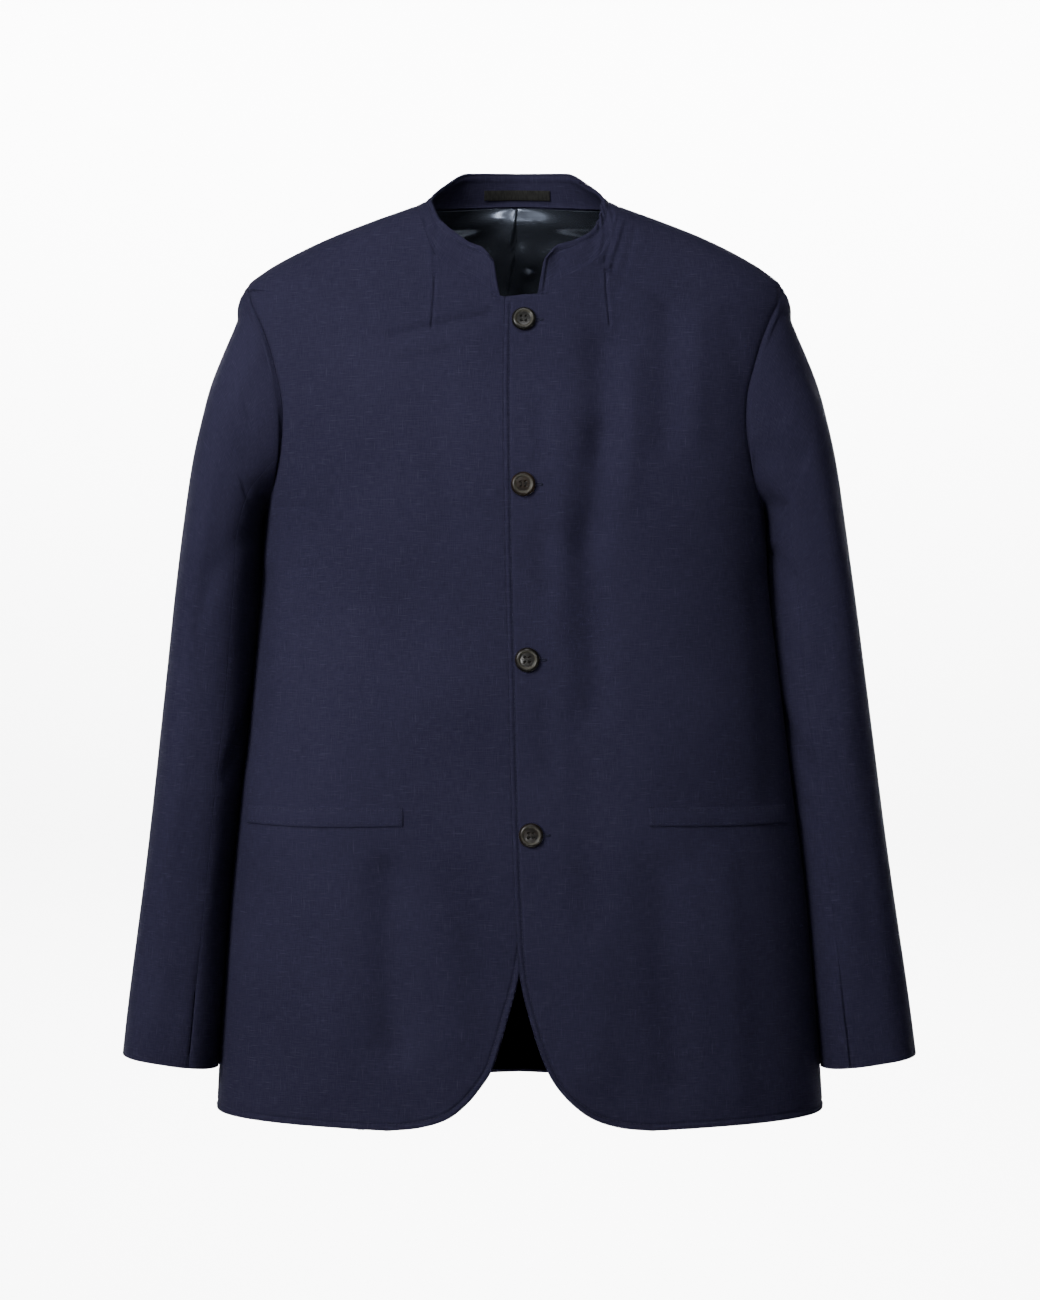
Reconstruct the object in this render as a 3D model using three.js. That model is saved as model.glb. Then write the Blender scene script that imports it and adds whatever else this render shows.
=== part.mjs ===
// A short tailored jacket with a low band collar, four buttons and rounded hems, filled out as worn.
// Millimetres, +Z up, -Y the garment's front, +X the wearer's left.
// The origin lies midway between the two points where the shoulder seams meet the collar.
import * as THREE from 'three';

// Cloth thicknesses and gaps
const WALL = 1.8;
const COLLAR_WALL = 2.4;
const LINING_WALL = 1.0;
const LABEL_WALL = 1.0;
const WELT_WALL = 1.6;
const SEAM_GAP = 0.3;
const LAYER_GAP = 0.5;
const OVERLAP_GAP = 1.1;
const LINING_GAP = 1.25;
const COLLAR_FOOT_GAP = 0.45;
const WELT_GAP = 0.7;

// Heights below the neck points
const SHOULDER_DROP = 64;
const ARMPIT_DROP = 243;
const SIDE_HEM_DROP = 718;
const BACK_HEM_DROP = 703;
const BACK_NECK_RISE = 7;
const LINING_HEM_RISE = 18;
const LINING_INSET = 0.25;

// Horizontal sections of the body: half width, depth in front of and behind the shoulder line,
// and the power of the rounded rectangle (2 is an ellipse)
const BODY = [
  { drop: -8, halfWidth: 63, front: 56, back: 60, power: 2.1 },
  { drop: 0, halfWidth: 81, front: 58, back: 63, power: 2.1 },
  { drop: 13, halfWidth: 117, front: 61, back: 68, power: 2.1 },
  { drop: 26, halfWidth: 150, front: 64, back: 73, power: 2.15 },
  { drop: 39, halfWidth: 177, front: 67, back: 78, power: 2.2 },
  { drop: 52, halfWidth: 199, front: 70, back: 83, power: 2.25 },
  { drop: 66, halfWidth: 215, front: 74, back: 88, power: 2.3 },
  { drop: 85, halfWidth: 221, front: 80, back: 94, power: 2.4 },
  { drop: 120, halfWidth: 219, front: 91, back: 102, power: 2.5 },
  { drop: 175, halfWidth: 208, front: 105, back: 108, power: 2.6 },
  { drop: 243, halfWidth: 200, front: 116, back: 106, power: 2.6 },
  { drop: 394, halfWidth: 212, front: 116, back: 94, power: 2.5 },
  { drop: 482, halfWidth: 222, front: 113, back: 94, power: 2.45 },
  { drop: 562, halfWidth: 231, front: 110, back: 97, power: 2.4 },
  { drop: 635, halfWidth: 236.5, front: 107, back: 100, power: 2.4 },
  { drop: 740, halfWidth: 243, front: 103, back: 103, power: 2.4 },
];

// The upper body stands a little towards the wearer's right
const LEAN = [
  { drop: -40, shift: -2.5 },
  { drop: 0, shift: -2.5 },
  { drop: 80, shift: -4.5 },
  { drop: 240, shift: -4.5 },
  { drop: 400, shift: -3 },
  { drop: 560, shift: -1.5 },
  { drop: 740, shift: 0 },
];

// Neck seam from the shoulder seam to the collar's end
const NECK_LEFT = [
  { x: 81, drop: 0 },
  { x: 79, drop: 8 },
  { x: 77, drop: 22 },
  { x: 69, drop: 43 },
  { x: 54, drop: 55 },
  { x: 37, drop: 62 },
  { x: 19, drop: 71 },
];
const NECK_RIGHT = [
  { x: -81, drop: 0 },
  { x: -78, drop: 8 },
  { x: -72, drop: 23 },
  { x: -62, drop: 45 },
  { x: -46, drop: 57 },
  { x: -28, drop: 64 },
  { x: -9, drop: 72 },
];

// Front edges from the top corner, round the cut-away hem to its lowest point
const EDGE_LEFT = [
  { x: -8, drop: 79 },
  { x: -9, drop: 146 },
  { x: -8, drop: 243 },
  { x: -6.5, drop: 354 },
  { x: -5, drop: 470 },
  { x: -3, drop: 540 },
  { x: -1, drop: 586 },
  { x: 2, drop: 614 },
  { x: 8.5, drop: 641 },
  { x: 15, drop: 663 },
  { x: 22, drop: 681 },
  { x: 30, drop: 694 },
  { x: 41, drop: 706 },
  { x: 56, drop: 717 },
  { x: 76, drop: 724 },
  { x: 103, drop: 727 },
];
const EDGE_RIGHT = [
  { x: 24, drop: 79 },
  { x: 24, drop: 146 },
  { x: 23, drop: 243 },
  { x: 21, drop: 354 },
  { x: 17, drop: 470 },
  { x: 10, drop: 545 },
  { x: 4, drop: 590 },
  { x: -1, drop: 614 },
  { x: -8.5, drop: 640 },
  { x: -15, drop: 662 },
  { x: -22, drop: 681 },
  { x: -30, drop: 693 },
  { x: -40, drop: 705 },
  { x: -55, drop: 717 },
  { x: -76, drop: 724 },
  { x: -103, drop: 727 },
];

// Where the left front lies over the right one it stands out, easing back across this band
const OVERLAP_FULL_X = 38;
const OVERLAP_END_X = 78;

// Armhole: how far round the body its edge turns inwards, and how square the oval is
const ARMHOLE_FRONT_TURN = THREE.MathUtils.degToRad(36.5);
const ARMHOLE_BACK_TURN = THREE.MathUtils.degToRad(34);
const ARMHOLE_SQUARENESS = 0.74;
const ARMHOLE_SHOULDER_TILT = 0.6;

// Sleeve sections: the outer and inner end of each ring, its middle and half depth front to back,
// and how much of the armhole's own outline it still holds
const SLEEVE = [
  { outerX: 214, outerDrop: 64, innerX: 200, innerDrop: 243, middleY: 2, halfDepth: 66, hold: 1 },
  { outerX: 223, outerDrop: 80, innerX: 203, innerDrop: 246, middleY: 2, halfDepth: 70, hold: 0.8 },
  { outerX: 232, outerDrop: 107, innerX: 205.5, innerDrop: 250, middleY: 3, halfDepth: 74, hold: 0.5 },
  { outerX: 243, outerDrop: 146, innerX: 207, innerDrop: 256, middleY: 4, halfDepth: 77, hold: 0.22 },
  { outerX: 254, outerDrop: 194, innerX: 208.5, innerDrop: 268, middleY: 5, halfDepth: 78, hold: 0.06 },
  { outerX: 262, outerDrop: 245, innerX: 209.5, innerDrop: 290, middleY: 6, halfDepth: 77, hold: 0 },
  { outerX: 270, outerDrop: 300, innerX: 211.5, innerDrop: 325, middleY: 7, halfDepth: 75, hold: 0 },
  { outerX: 281, outerDrop: 394, innerX: 217, innerDrop: 400, middleY: 8, halfDepth: 70, hold: 0 },
  { outerX: 291, outerDrop: 480, innerX: 226.5, innerDrop: 482, middleY: 6, halfDepth: 65, hold: 0 },
  { outerX: 300.5, outerDrop: 554, innerX: 235, innerDrop: 560, middleY: 2, halfDepth: 60, hold: 0 },
  { outerX: 309, outerDrop: 622, innerX: 241, innerDrop: 632, middleY: -3, halfDepth: 55, hold: 0 },
  { outerX: 315.5, outerDrop: 675, innerX: 245.5, innerDrop: 686, middleY: -6, halfDepth: 52, hold: 0 },
];
const SLEEVE_POWER = 2.3;
const SLEEVE_FRONT_SEAM = 8;
const SLEEVE_BACK_SEAM = 16;

// Collar from the middle of the back (0) by the shoulder seam (1) to its front end (2)
const COLLAR = [
  { place: 0, inward: 4, rise: 27 },
  { place: 0.5, inward: 9, rise: 27 },
  { place: 1, inward: 14, rise: 15.5 },
  { place: 1.35, inward: 13, rise: 18 },
  { place: 1.7, inward: 12, rise: 24 },
  { place: 2, inward: 5, rise: 29 },
];
const COLLAR_END_SLANT = 7;
const COLLAR_END_ROUND = 0.22;
const COLLAR_END_LOSS = 0.24;
const NECK_AXIS_Y = -6;

// Soft folds in the body: troughs from one point to another, seen from the front or the back
const FOLDS = [
  { front: true, x0: 61, drop0: 120, x1: 60, drop1: 200, width: 15, depth: 3.5 },
  { front: true, x0: 60, drop0: 190, x1: 49, drop1: 270, width: 15, depth: 3.5 },
  { front: true, x0: 49, drop0: 260, x1: 51, drop1: 400, width: 15, depth: 3.5 },
  { front: true, x0: 116, drop0: 92, x1: 112, drop1: 193, width: 14, depth: 2.5 },
  { front: true, x0: 165, drop0: 96, x1: 176, drop1: 150, width: 11, depth: 2.5 },
  { front: true, x0: -106, drop0: 545, x1: -99, drop1: 640, width: 23, depth: 4.5 },
  { front: true, x0: -66, drop0: 150, x1: -52, drop1: 260, width: 18, depth: 2.5 },
  { front: false, x0: -78, drop0: 200, x1: -70, drop1: 430, width: 20, depth: 3.5 },
  { front: false, x0: 86, drop0: 170, x1: 74, drop1: 400, width: 18, depth: 3.5 },
  { front: false, x0: 30, drop0: 470, x1: 44, drop1: 660, width: 26, depth: 4 },
  { front: false, x0: -96, drop0: 500, x1: -120, drop1: 640, width: 24, depth: 3.5 },
];

// Pocket welts on the fronts
const WELT_TOP_DROP = 476;
const WELT_HEIGHT = 14.5;
const WELT_OUTER_X = 212;
const WELT_LEFT_INNER_X = 102;
const WELT_RIGHT_INNER_X = 88;

// Buttons
const BUTTONS = [
  { x: 7.5, drop: 97.5 },
  { x: 7, drop: 227 },
  { x: 9, drop: 362 },
  { x: 10.5, drop: 497 },
];
const BUTTON_RADIUS = 9.5;
const BUTTON_HEIGHT = 3.4;
const BUTTON_RIM = 2.8;
const BUTTON_DISH = 1.0;
const BUTTON_EDGE = 0.8;

// Woven label inside the back of the collar
const LABEL_HALF_WIDTH = 26.5;
const LABEL_LOW = 0.2;
const LABEL_HIGH = 0.5;
const LABEL_REACH = 0.3;

// Steps of the meshes
const NECK_ROWS = 8;
const TOP_EDGE_ROWS = 2;
const ARMHOLE_ROWS = 12;
const SIDE_ROWS = 8;
const HEM_ROWS = 9;
const BACK_HEM_ROWS = 3;
const FRONT_COLUMNS = 13;
const HALF_BACK_COLUMNS = 10;
const SLEEVE_RINGS = 18;
const COLLAR_COLUMNS = 4 * NECK_ROWS;
const COLLAR_ROWS = 3;
const WELT_COLUMNS = 12;
const LABEL_COLUMNS = 6;
const BUTTON_SIDES = 16;
const CURVE_SAMPLES = 600;

// Heights of the panel rows where the hem's curve starts
const HEM_START_DROP = 600;

/** Slopes of a smooth curve through points that never overshoots them. */
function gentleSlopes(keys, values) {
  const steps = keys.slice(1).map((key, i) => (values[i + 1] - values[i]) / (key - keys[i]));
  return values.map((value, i) => {
    if (i === 0) {
      return steps[0];
    }
    if (i === values.length - 1) {
      return steps[steps.length - 1];
    }
    const product = steps[i - 1] * steps[i];
    return product <= 0 ? 0 : (2 * product) / (steps[i - 1] + steps[i]);
  });
}

/** A smooth function through one named column of a table, read against a rising key. */
function column(table, key, name) {
  const keys = table.map((row, i) => (key === null ? i : row[key]));
  const values = table.map((row) => row[name]);
  const slopes = gentleSlopes(keys, values);
  return (at) => {
    let i = 0;
    while (i < keys.length - 2 && at > keys[i + 1]) {
      i += 1;
    }
    const span = keys[i + 1] - keys[i];
    const t = THREE.MathUtils.clamp((at - keys[i]) / span, 0, 1);
    const back = 1 - t;
    const start = values[i] * (1 + 2 * t) * back * back + slopes[i] * span * t * back * back;
    const end = values[i + 1] * (3 - 2 * t) * t * t - slopes[i + 1] * span * back * t * t;
    return start + end;
  };
}

const bodyHalfWidth = column(BODY, 'drop', 'halfWidth');
const bodyFront = column(BODY, 'drop', 'front');
const bodyBack = column(BODY, 'drop', 'back');
const bodyPower = column(BODY, 'drop', 'power');
const leanShift = column(LEAN, 'drop', 'shift');

function mix(a, b, t) {
  return a + (b - a) * t;
}

/** How deep the body's folds are at a place on the front or the back. */
function foldDepth(x, drop, isFront) {
  let depth = 0;
  for (const fold of FOLDS) {
    if (fold.front === isFront) {
      const runX = fold.x1 - fold.x0;
      const runDrop = fold.drop1 - fold.drop0;
      const length = runX * runX + runDrop * runDrop;
      const t = ((x - fold.x0) * runX + (drop - fold.drop0) * runDrop) / length;
      const near = THREE.MathUtils.clamp(t, 0, 1);
      const away = Math.hypot(x - fold.x0 - near * runX, drop - fold.drop0 - near * runDrop);
      depth += fold.depth * Math.exp(-((away / fold.width) ** 2));
    }
  }
  return depth;
}

/** Point of the body at an angle round it from the middle of the front, moved out by lift(x). */
function bodyPoint(angle, z, lift = null) {
  const drop = -z;
  const power = bodyPower(drop);
  const across = Math.sin(angle);
  const along = Math.cos(angle);
  const radius = (Math.abs(across) ** power + Math.abs(along) ** power) ** (-1 / power);
  const halfWidth = bodyHalfWidth(drop);
  const depth = along > 0 ? bodyFront(drop) : bodyBack(drop);
  const x = halfWidth * radius * across;
  const y = -depth * radius * along;
  const outX = (Math.sign(across) * Math.abs(across) ** (power - 1)) / halfWidth;
  const outY = (-Math.sign(along) * Math.abs(along) ** (power - 1)) / depth;
  const size = Math.hypot(outX, outY);
  const move = (lift ? lift(x) : 0) - foldDepth(x, drop, along > 0);
  return new THREE.Vector3(x + (outX / size) * move, y + (outY / size) * move, z);
}

/** Outward direction of any surface of two parameters, from points a short step apart. */
function outward(surface, a, b, stepA, stepB, from) {
  const alongA = surface(a + stepA, b).sub(surface(a - stepA, b));
  const alongB = surface(a, b + stepB).sub(surface(a, b - stepB));
  const direction = alongA.cross(alongB).normalize();
  return direction.dot(surface(a, b).sub(from)) < 0 ? direction.negate() : direction;
}

// Short steps for working out directions, and points well inside the body and the neck
const ANGLE_STEP = 0.002;
const HEIGHT_STEP = 0.2;
const PLACE_STEP = 0.01;
const SHARE_STEP = 0.05;
const BODY_MIDDLE_DROP = 60;
const NECK_MIDDLE = new THREE.Vector3(0, NECK_AXIS_Y, -40);

function bodyNormal(angle, z, lift = null) {
  const surface = (a, b) => bodyPoint(a, b, lift);
  const middle = new THREE.Vector3(0, 0, z - BODY_MIDDLE_DROP);
  return outward(surface, angle, z, ANGLE_STEP, HEIGHT_STEP, middle);
}

/** The angle round the body at which a front point lies at x. */
function frontAngle(x, z) {
  const power = bodyPower(-z);
  const share = THREE.MathUtils.clamp(Math.abs(x) / bodyHalfWidth(-z), 0, 1);
  const along = (1 - share ** power) ** (1 / power);
  return Math.atan2(Math.sign(x) * share, along);
}

/** Outward step of the left front over the right one. */
function overlapLift(x) {
  const t = THREE.MathUtils.clamp((OVERLAP_END_X - x) / (OVERLAP_END_X - OVERLAP_FULL_X), 0, 1);
  return (WALL + OVERLAP_GAP) * t * t * (3 - 2 * t);
}

function curveOf(table) {
  const points = table.map((row) => new THREE.Vector3(row.x, 0, -row.drop));
  return new THREE.CatmullRomCurve3(points, false, 'centripetal');
}

const neckCurves = { 1: curveOf(NECK_LEFT), '-1': curveOf(NECK_RIGHT) };
const edgeCurves = { 1: curveOf(EDGE_LEFT), '-1': curveOf(EDGE_RIGHT) };
const sideLift = { 1: overlapLift, '-1': null };

/** Half the seam gap as an angle, beside the shoulder and side seams. */
function gapAngle(z) {
  return SEAM_GAP / 2 / bodyFront(-z);
}

/** Angle and height of the neck seam: place 0 is the back's middle, 1 the shoulder seam, 2 the end. */
function neckPlace(side, place) {
  if (place <= 1) {
    const turn = (Math.PI / 2) * place;
    return { angle: side * (Math.PI - turn), z: BACK_NECK_RISE * Math.cos(turn) };
  }
  const at = neckCurves[side].getPointAt(Math.min(place, 2) - 1);
  return { angle: frontAngle(at.x, at.z), z: at.z };
}

function neckPoint(side, place) {
  const { angle, z } = neckPlace(side, place);
  return bodyPoint(angle, z, place > 1 ? sideLift[side] : null);
}

const collarInward = column(COLLAR, 'place', 'inward');
const collarRise = column(COLLAR, 'place', 'rise');

/** Point of the collar's outer face: height 0 is the neck seam, 1 the top edge. */
function collarPoint(side, place, height) {
  const base = neckPoint(side, place);
  const inward = new THREE.Vector3(-base.x, NECK_AXIS_Y - base.y, 0).normalize();
  const roundStart = 2 - COLLAR_END_ROUND;
  const roundShare = Math.max(0, (place - roundStart) / COLLAR_END_ROUND);
  const shorten = 1 - COLLAR_END_LOSS * (1 - Math.sqrt(Math.max(0, 1 - roundShare * roundShare)));
  const up = height * shorten;
  base.addScaledVector(inward, collarInward(place) * up);
  base.x += side * COLLAR_END_SLANT * up * roundShare;
  base.z += collarRise(place) * up;
  return base;
}

function collarNormal(side, place, height) {
  const surface = (a, b) => collarPoint(side, a, b);
  const inside = Math.min(place, 2 - 2 * PLACE_STEP);
  return outward(surface, inside, height, PLACE_STEP, SHARE_STEP, NECK_MIDDLE);
}

/** The direction that the neck edge of the panels and the foot of the collar share. */
function neckNormal(side, place) {
  const { angle, z } = neckPlace(side, place);
  const lift = place > 1 ? sideLift[side] : null;
  const normal = bodyNormal(angle, z, lift).add(collarNormal(side, place, 0));
  return normal.normalize();
}

/** Armhole outline by step: 0 is the shoulder point, 12 the armpit, going down the front. */
function armholePlace(side, step) {
  const turn = (Math.PI * step) / ARMHOLE_ROWS;
  const drop = mix(SHOULDER_DROP, ARMPIT_DROP, (1 - Math.cos(turn)) / 2);
  const sway = Math.sin(turn);
  const amount = Math.abs(sway) ** ARMHOLE_SQUARENESS;
  const offset = sway > 0 ? -ARMHOLE_FRONT_TURN * amount : ARMHOLE_BACK_TURN * amount;
  return { angle: side * (Math.PI / 2 + offset), z: -drop };
}

function armholePoint(side, step) {
  const { angle, z } = armholePlace(side, step);
  return bodyPoint(angle, z);
}

/** The direction that the armhole edge of the panels and the head of the sleeve share. */
function armholeNormal(side, step) {
  const point = armholePoint(side, step);
  const middle = -mix(SHOULDER_DROP, ARMPIT_DROP, 0.5);
  const radial = new THREE.Vector3(0, point.y, point.z - middle).normalize();
  const high = (1 + Math.cos((Math.PI * step) / ARMHOLE_ROWS)) / 2;
  radial.x = side * ARMHOLE_SHOULDER_TILT * high;
  return radial.normalize();
}

/** One vertex of a sheet: its point on the outer face and the direction of the wall's thickness. */
function vertex(point, normal) {
  return { point, normal };
}

/** Rows of a front panel, from the neck to the hem and from the front edge to the side seam. */
function frontRows(side, columns) {
  const lift = sideLift[side];
  const rows = [];
  const total = NECK_ROWS + ARMHOLE_ROWS + SIDE_ROWS + HEM_ROWS;
  const armholeEnd = NECK_ROWS + ARMHOLE_ROWS;
  const hemStart = armholeEnd + SIDE_ROWS;
  const edge = edgeCurves[side];
  const edgeShare = shareAtDrop(edge, [ARMPIT_DROP, HEM_START_DROP]);
  const corner = edge.getPointAt(0);
  const collarEnd = neckCurves[side].getPointAt(1);
  for (let row = 0; row <= total; row += 1) {
    const inner = innerEdge(row);
    const outer = outerEdge(row);
    const line = [];
    for (let i = 0; i <= columns; i += 1) {
      const s = i / columns;
      const z = mix(inner.z, outer.z, s);
      const angle = mix(inner.angle, outer.angle, s);
      let normal = bodyNormal(angle, z, lift);
      if (i === 0 && inner.normal) {
        normal = inner.normal;
      }
      if (i === columns && outer.normal) {
        normal = outer.normal;
      }
      line.push(vertex(bodyPoint(angle, z, lift), normal));
    }
    rows.push(line);
  }
  return rows;

  function innerEdge(row) {
    if (row <= NECK_ROWS) {
      const place = 1 + row / NECK_ROWS;
      const { angle, z } = neckPlace(side, place);
      const start = side * gapAngle(z) * (1 - row / NECK_ROWS);
      return { angle: angle - start, z, normal: neckNormal(side, place) };
    }
    if (row < NECK_ROWS + TOP_EDGE_ROWS) {
      const t = (row - NECK_ROWS) / TOP_EDGE_ROWS;
      const z = mix(collarEnd.z, corner.z, t);
      return { angle: frontAngle(mix(collarEnd.x, corner.x, t), z), z };
    }
    let share;
    if (row <= armholeEnd) {
      const first = NECK_ROWS + TOP_EDGE_ROWS;
      share = mix(0, edgeShare[0], (row - first) / (armholeEnd - first));
    } else if (row <= hemStart) {
      share = mix(edgeShare[0], edgeShare[1], (row - armholeEnd) / SIDE_ROWS);
    } else {
      share = mix(edgeShare[1], 1, (row - hemStart) / HEM_ROWS);
    }
    const at = edge.getPointAt(share);
    return { angle: frontAngle(at.x, at.z), z: at.z };
  }

  function outerEdge(row) {
    return panelOuterEdge(side, row, 1, HEM_ROWS);
  }
}

/** Shoulder seam, armhole and side seam of a panel; way is 1 on the fronts and -1 on the back. */
function panelOuterEdge(side, row, way, hemRows) {
  const armholeEnd = NECK_ROWS + ARMHOLE_ROWS;
  const quarter = side * (Math.PI / 2);
  if (row < NECK_ROWS) {
    const z = (-SHOULDER_DROP * row) / NECK_ROWS;
    const normal = row === 0 ? neckNormal(side, 1) : null;
    return { angle: quarter - way * side * gapAngle(z), z, normal };
  }
  if (row <= armholeEnd) {
    const step = way * (row - NECK_ROWS);
    const { angle, z } = armholePlace(side, step);
    const atSeam = row === NECK_ROWS || row === armholeEnd;
    const gap = atSeam ? way * side * gapAngle(z) : 0;
    return { angle: angle - gap, z, normal: armholeNormal(side, step) };
  }
  const sideEnd = armholeEnd + SIDE_ROWS;
  let drop;
  if (row <= sideEnd) {
    drop = mix(ARMPIT_DROP, HEM_START_DROP, (row - armholeEnd) / SIDE_ROWS);
  } else {
    drop = mix(HEM_START_DROP, SIDE_HEM_DROP, (row - sideEnd) / hemRows);
  }
  return { angle: quarter - way * side * gapAngle(-drop), z: -drop };
}

/** Shares of a curve's length at which it reaches the given drops. */
function shareAtDrop(curve, drops) {
  return drops.map((drop) => {
    let i = 0;
    while (i < CURVE_SAMPLES && -curve.getPointAt(i / CURVE_SAMPLES).z < drop) {
      i += 1;
    }
    return i / CURVE_SAMPLES;
  });
}

/** Rows of half the back, from its middle to the side seam, its last column drawn in by inset columns. */
function halfBackRows(side, columns, inset) {
  const armholeEnd = NECK_ROWS + ARMHOLE_ROWS;
  const total = armholeEnd + SIDE_ROWS + BACK_HEM_ROWS;
  const sideEnd = armholeEnd + SIDE_ROWS;
  const rows = [];
  for (let row = 0; row <= total; row += 1) {
    const inner = innerEdge(row);
    const outer = panelOuterEdge(side, row, -1, BACK_HEM_ROWS);
    const line = [];
    for (let i = 0; i <= columns; i += 1) {
      const s = (i < columns || row === 0 ? i : i - inset) / columns;
      const z = mix(inner.z, outer.z, s);
      const angle = mix(inner.angle, outer.angle, s);
      let normal = bodyNormal(angle, z);
      if (i === 0 && inner.normal) {
        normal = inner.normal;
      }
      if (i === columns && outer.normal && inset === 0) {
        normal = outer.normal;
      }
      line.push(vertex(bodyPoint(angle, z), normal));
    }
    rows.push(line);
  }
  return rows;

  function innerEdge(row) {
    if (row <= NECK_ROWS) {
      const place = 1 - row / NECK_ROWS;
      const { angle, z } = neckPlace(side, place);
      const start = side * gapAngle(z) * place;
      return { angle: angle + start, z, normal: neckNormal(side, place) };
    }
    let drop;
    if (row <= armholeEnd) {
      drop = mix(-BACK_NECK_RISE, ARMPIT_DROP, (row - NECK_ROWS) / ARMHOLE_ROWS);
    } else if (row <= sideEnd) {
      drop = mix(ARMPIT_DROP, HEM_START_DROP, (row - armholeEnd) / SIDE_ROWS);
    } else {
      drop = mix(HEM_START_DROP, BACK_HEM_DROP, (row - sideEnd) / BACK_HEM_ROWS);
    }
    return { angle: side * Math.PI, z: -drop };
  }
}

const sleeveColumns = {};
for (const name of ['outerX', 'outerDrop', 'innerX', 'innerDrop', 'middleY', 'halfDepth', 'hold']) {
  sleeveColumns[name] = column(SLEEVE, null, name);
}

/** Point of a sleeve: along counts the rows of its table, step goes round from the outer end. */
function sleevePoint(side, along, step) {
  const at = (name) => sleeveColumns[name](along);
  const turn = (Math.PI * step) / ARMHOLE_ROWS;
  const point = ring(at, turn);
  const hold = at('hold');
  if (hold > 0) {
    const start = ring((name) => SLEEVE[0][name], turn);
    const seam = sleeveHead(side, step);
    seam.x *= side;
    point.addScaledVector(seam.sub(start), hold);
  }
  point.x *= side;
  return point;
}

/** A rounded ring between the outer and inner ends that the given columns name. */
function ring(at, turn) {
  const across = Math.cos(turn);
  const deep = Math.sin(turn);
  const radius = (Math.abs(across) ** SLEEVE_POWER + Math.abs(deep) ** SLEEVE_POWER) ** (-1 / SLEEVE_POWER);
  const share = (1 + across * radius) / 2;
  const x = mix(at('innerX'), at('outerX'), share);
  const z = -mix(at('innerDrop'), at('outerDrop'), share);
  return new THREE.Vector3(x, at('middleY') - at('halfDepth') * radius * deep, z);
}

/** The sleeve's first edge, a seam gap away from the armhole's edge. */
function sleeveHead(side, step) {
  const normal = armholeNormal(side, step);
  const ahead = armholePoint(side, step + SHARE_STEP).sub(armholePoint(side, step - SHARE_STEP));
  const away = ahead.cross(normal).normalize();
  if (away.x * side < 0) {
    away.negate();
  }
  return armholePoint(side, step).addScaledVector(away, SEAM_GAP);
}

function sleeveNormal(side, along, step) {
  if (along === 0) {
    return armholeNormal(side, step);
  }
  const surface = (a, b) => sleevePoint(side, a, b);
  const last = SLEEVE.length - 1;
  const a = Math.min(along, last - 2 * PLACE_STEP);
  const at = (name) => sleeveColumns[name](a);
  const centre = ring(at, 0).add(ring(at, Math.PI)).multiplyScalar(0.5);
  centre.x *= side;
  return outward(surface, a, step, PLACE_STEP, SHARE_STEP, centre);
}

function sleeveRows(side, firstStep, lastStep) {
  const rows = [];
  for (let i = 0; i <= SLEEVE_RINGS; i += 1) {
    const along = ((SLEEVE.length - 1) * i) / SLEEVE_RINGS;
    const line = [];
    for (let step = firstStep; step <= lastStep; step += 1) {
      const spacing = sleevePoint(side, along, step + 0.5).distanceTo(sleevePoint(side, along, step - 0.5));
      const gap = SEAM_GAP / 2 / spacing;
      const draw = step === firstStep ? gap : step === lastStep ? -gap : 0;
      const place = step + draw;
      line.push(vertex(sleevePoint(side, along, place), sleeveNormal(side, along, place)));
    }
    rows.push(line);
  }
  return rows;
}

/** Rows of the collar, right end to left end, from its foot to its top edge. */
function collarRows() {
  const rows = [];
  for (let row = 0; row <= COLLAR_ROWS; row += 1) {
    const height = row / COLLAR_ROWS;
    const line = [];
    for (let i = 0; i <= COLLAR_COLUMNS; i += 1) {
      const around = -2 + (4 * i) / COLLAR_COLUMNS;
      line.push(collarVertex(around, height));
    }
    rows.push(line);
  }
  return rows;
}

function collarVertex(around, height) {
  const side = around < 0 ? -1 : 1;
  const place = Math.abs(around);
  const normal = height === 0 ? neckNormal(side, place) : collarNormal(side, place, height);
  const point = collarPoint(side, place, height);
  const up = collarPoint(side, place, 1).sub(collarPoint(side, place, 0));
  const before = neckPoint(side, Math.max(place - PLACE_STEP, 0));
  const ahead = neckPoint(side, Math.min(place + PLACE_STEP, 2)).sub(before);
  const away = ahead.cross(neckNormal(side, place)).normalize();
  if (away.dot(up) < 0) {
    away.negate();
  }
  return vertex(point.addScaledVector(away, COLLAR_FOOT_GAP * (1 - height)), normal);
}

/** Moves every vertex of a sheet along its own direction. */
function moved(rows, distance) {
  return rows.map((line) => line.map(({ point, normal }) => (
    vertex(point.clone().addScaledVector(normal, distance), normal)
  )));
}

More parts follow.
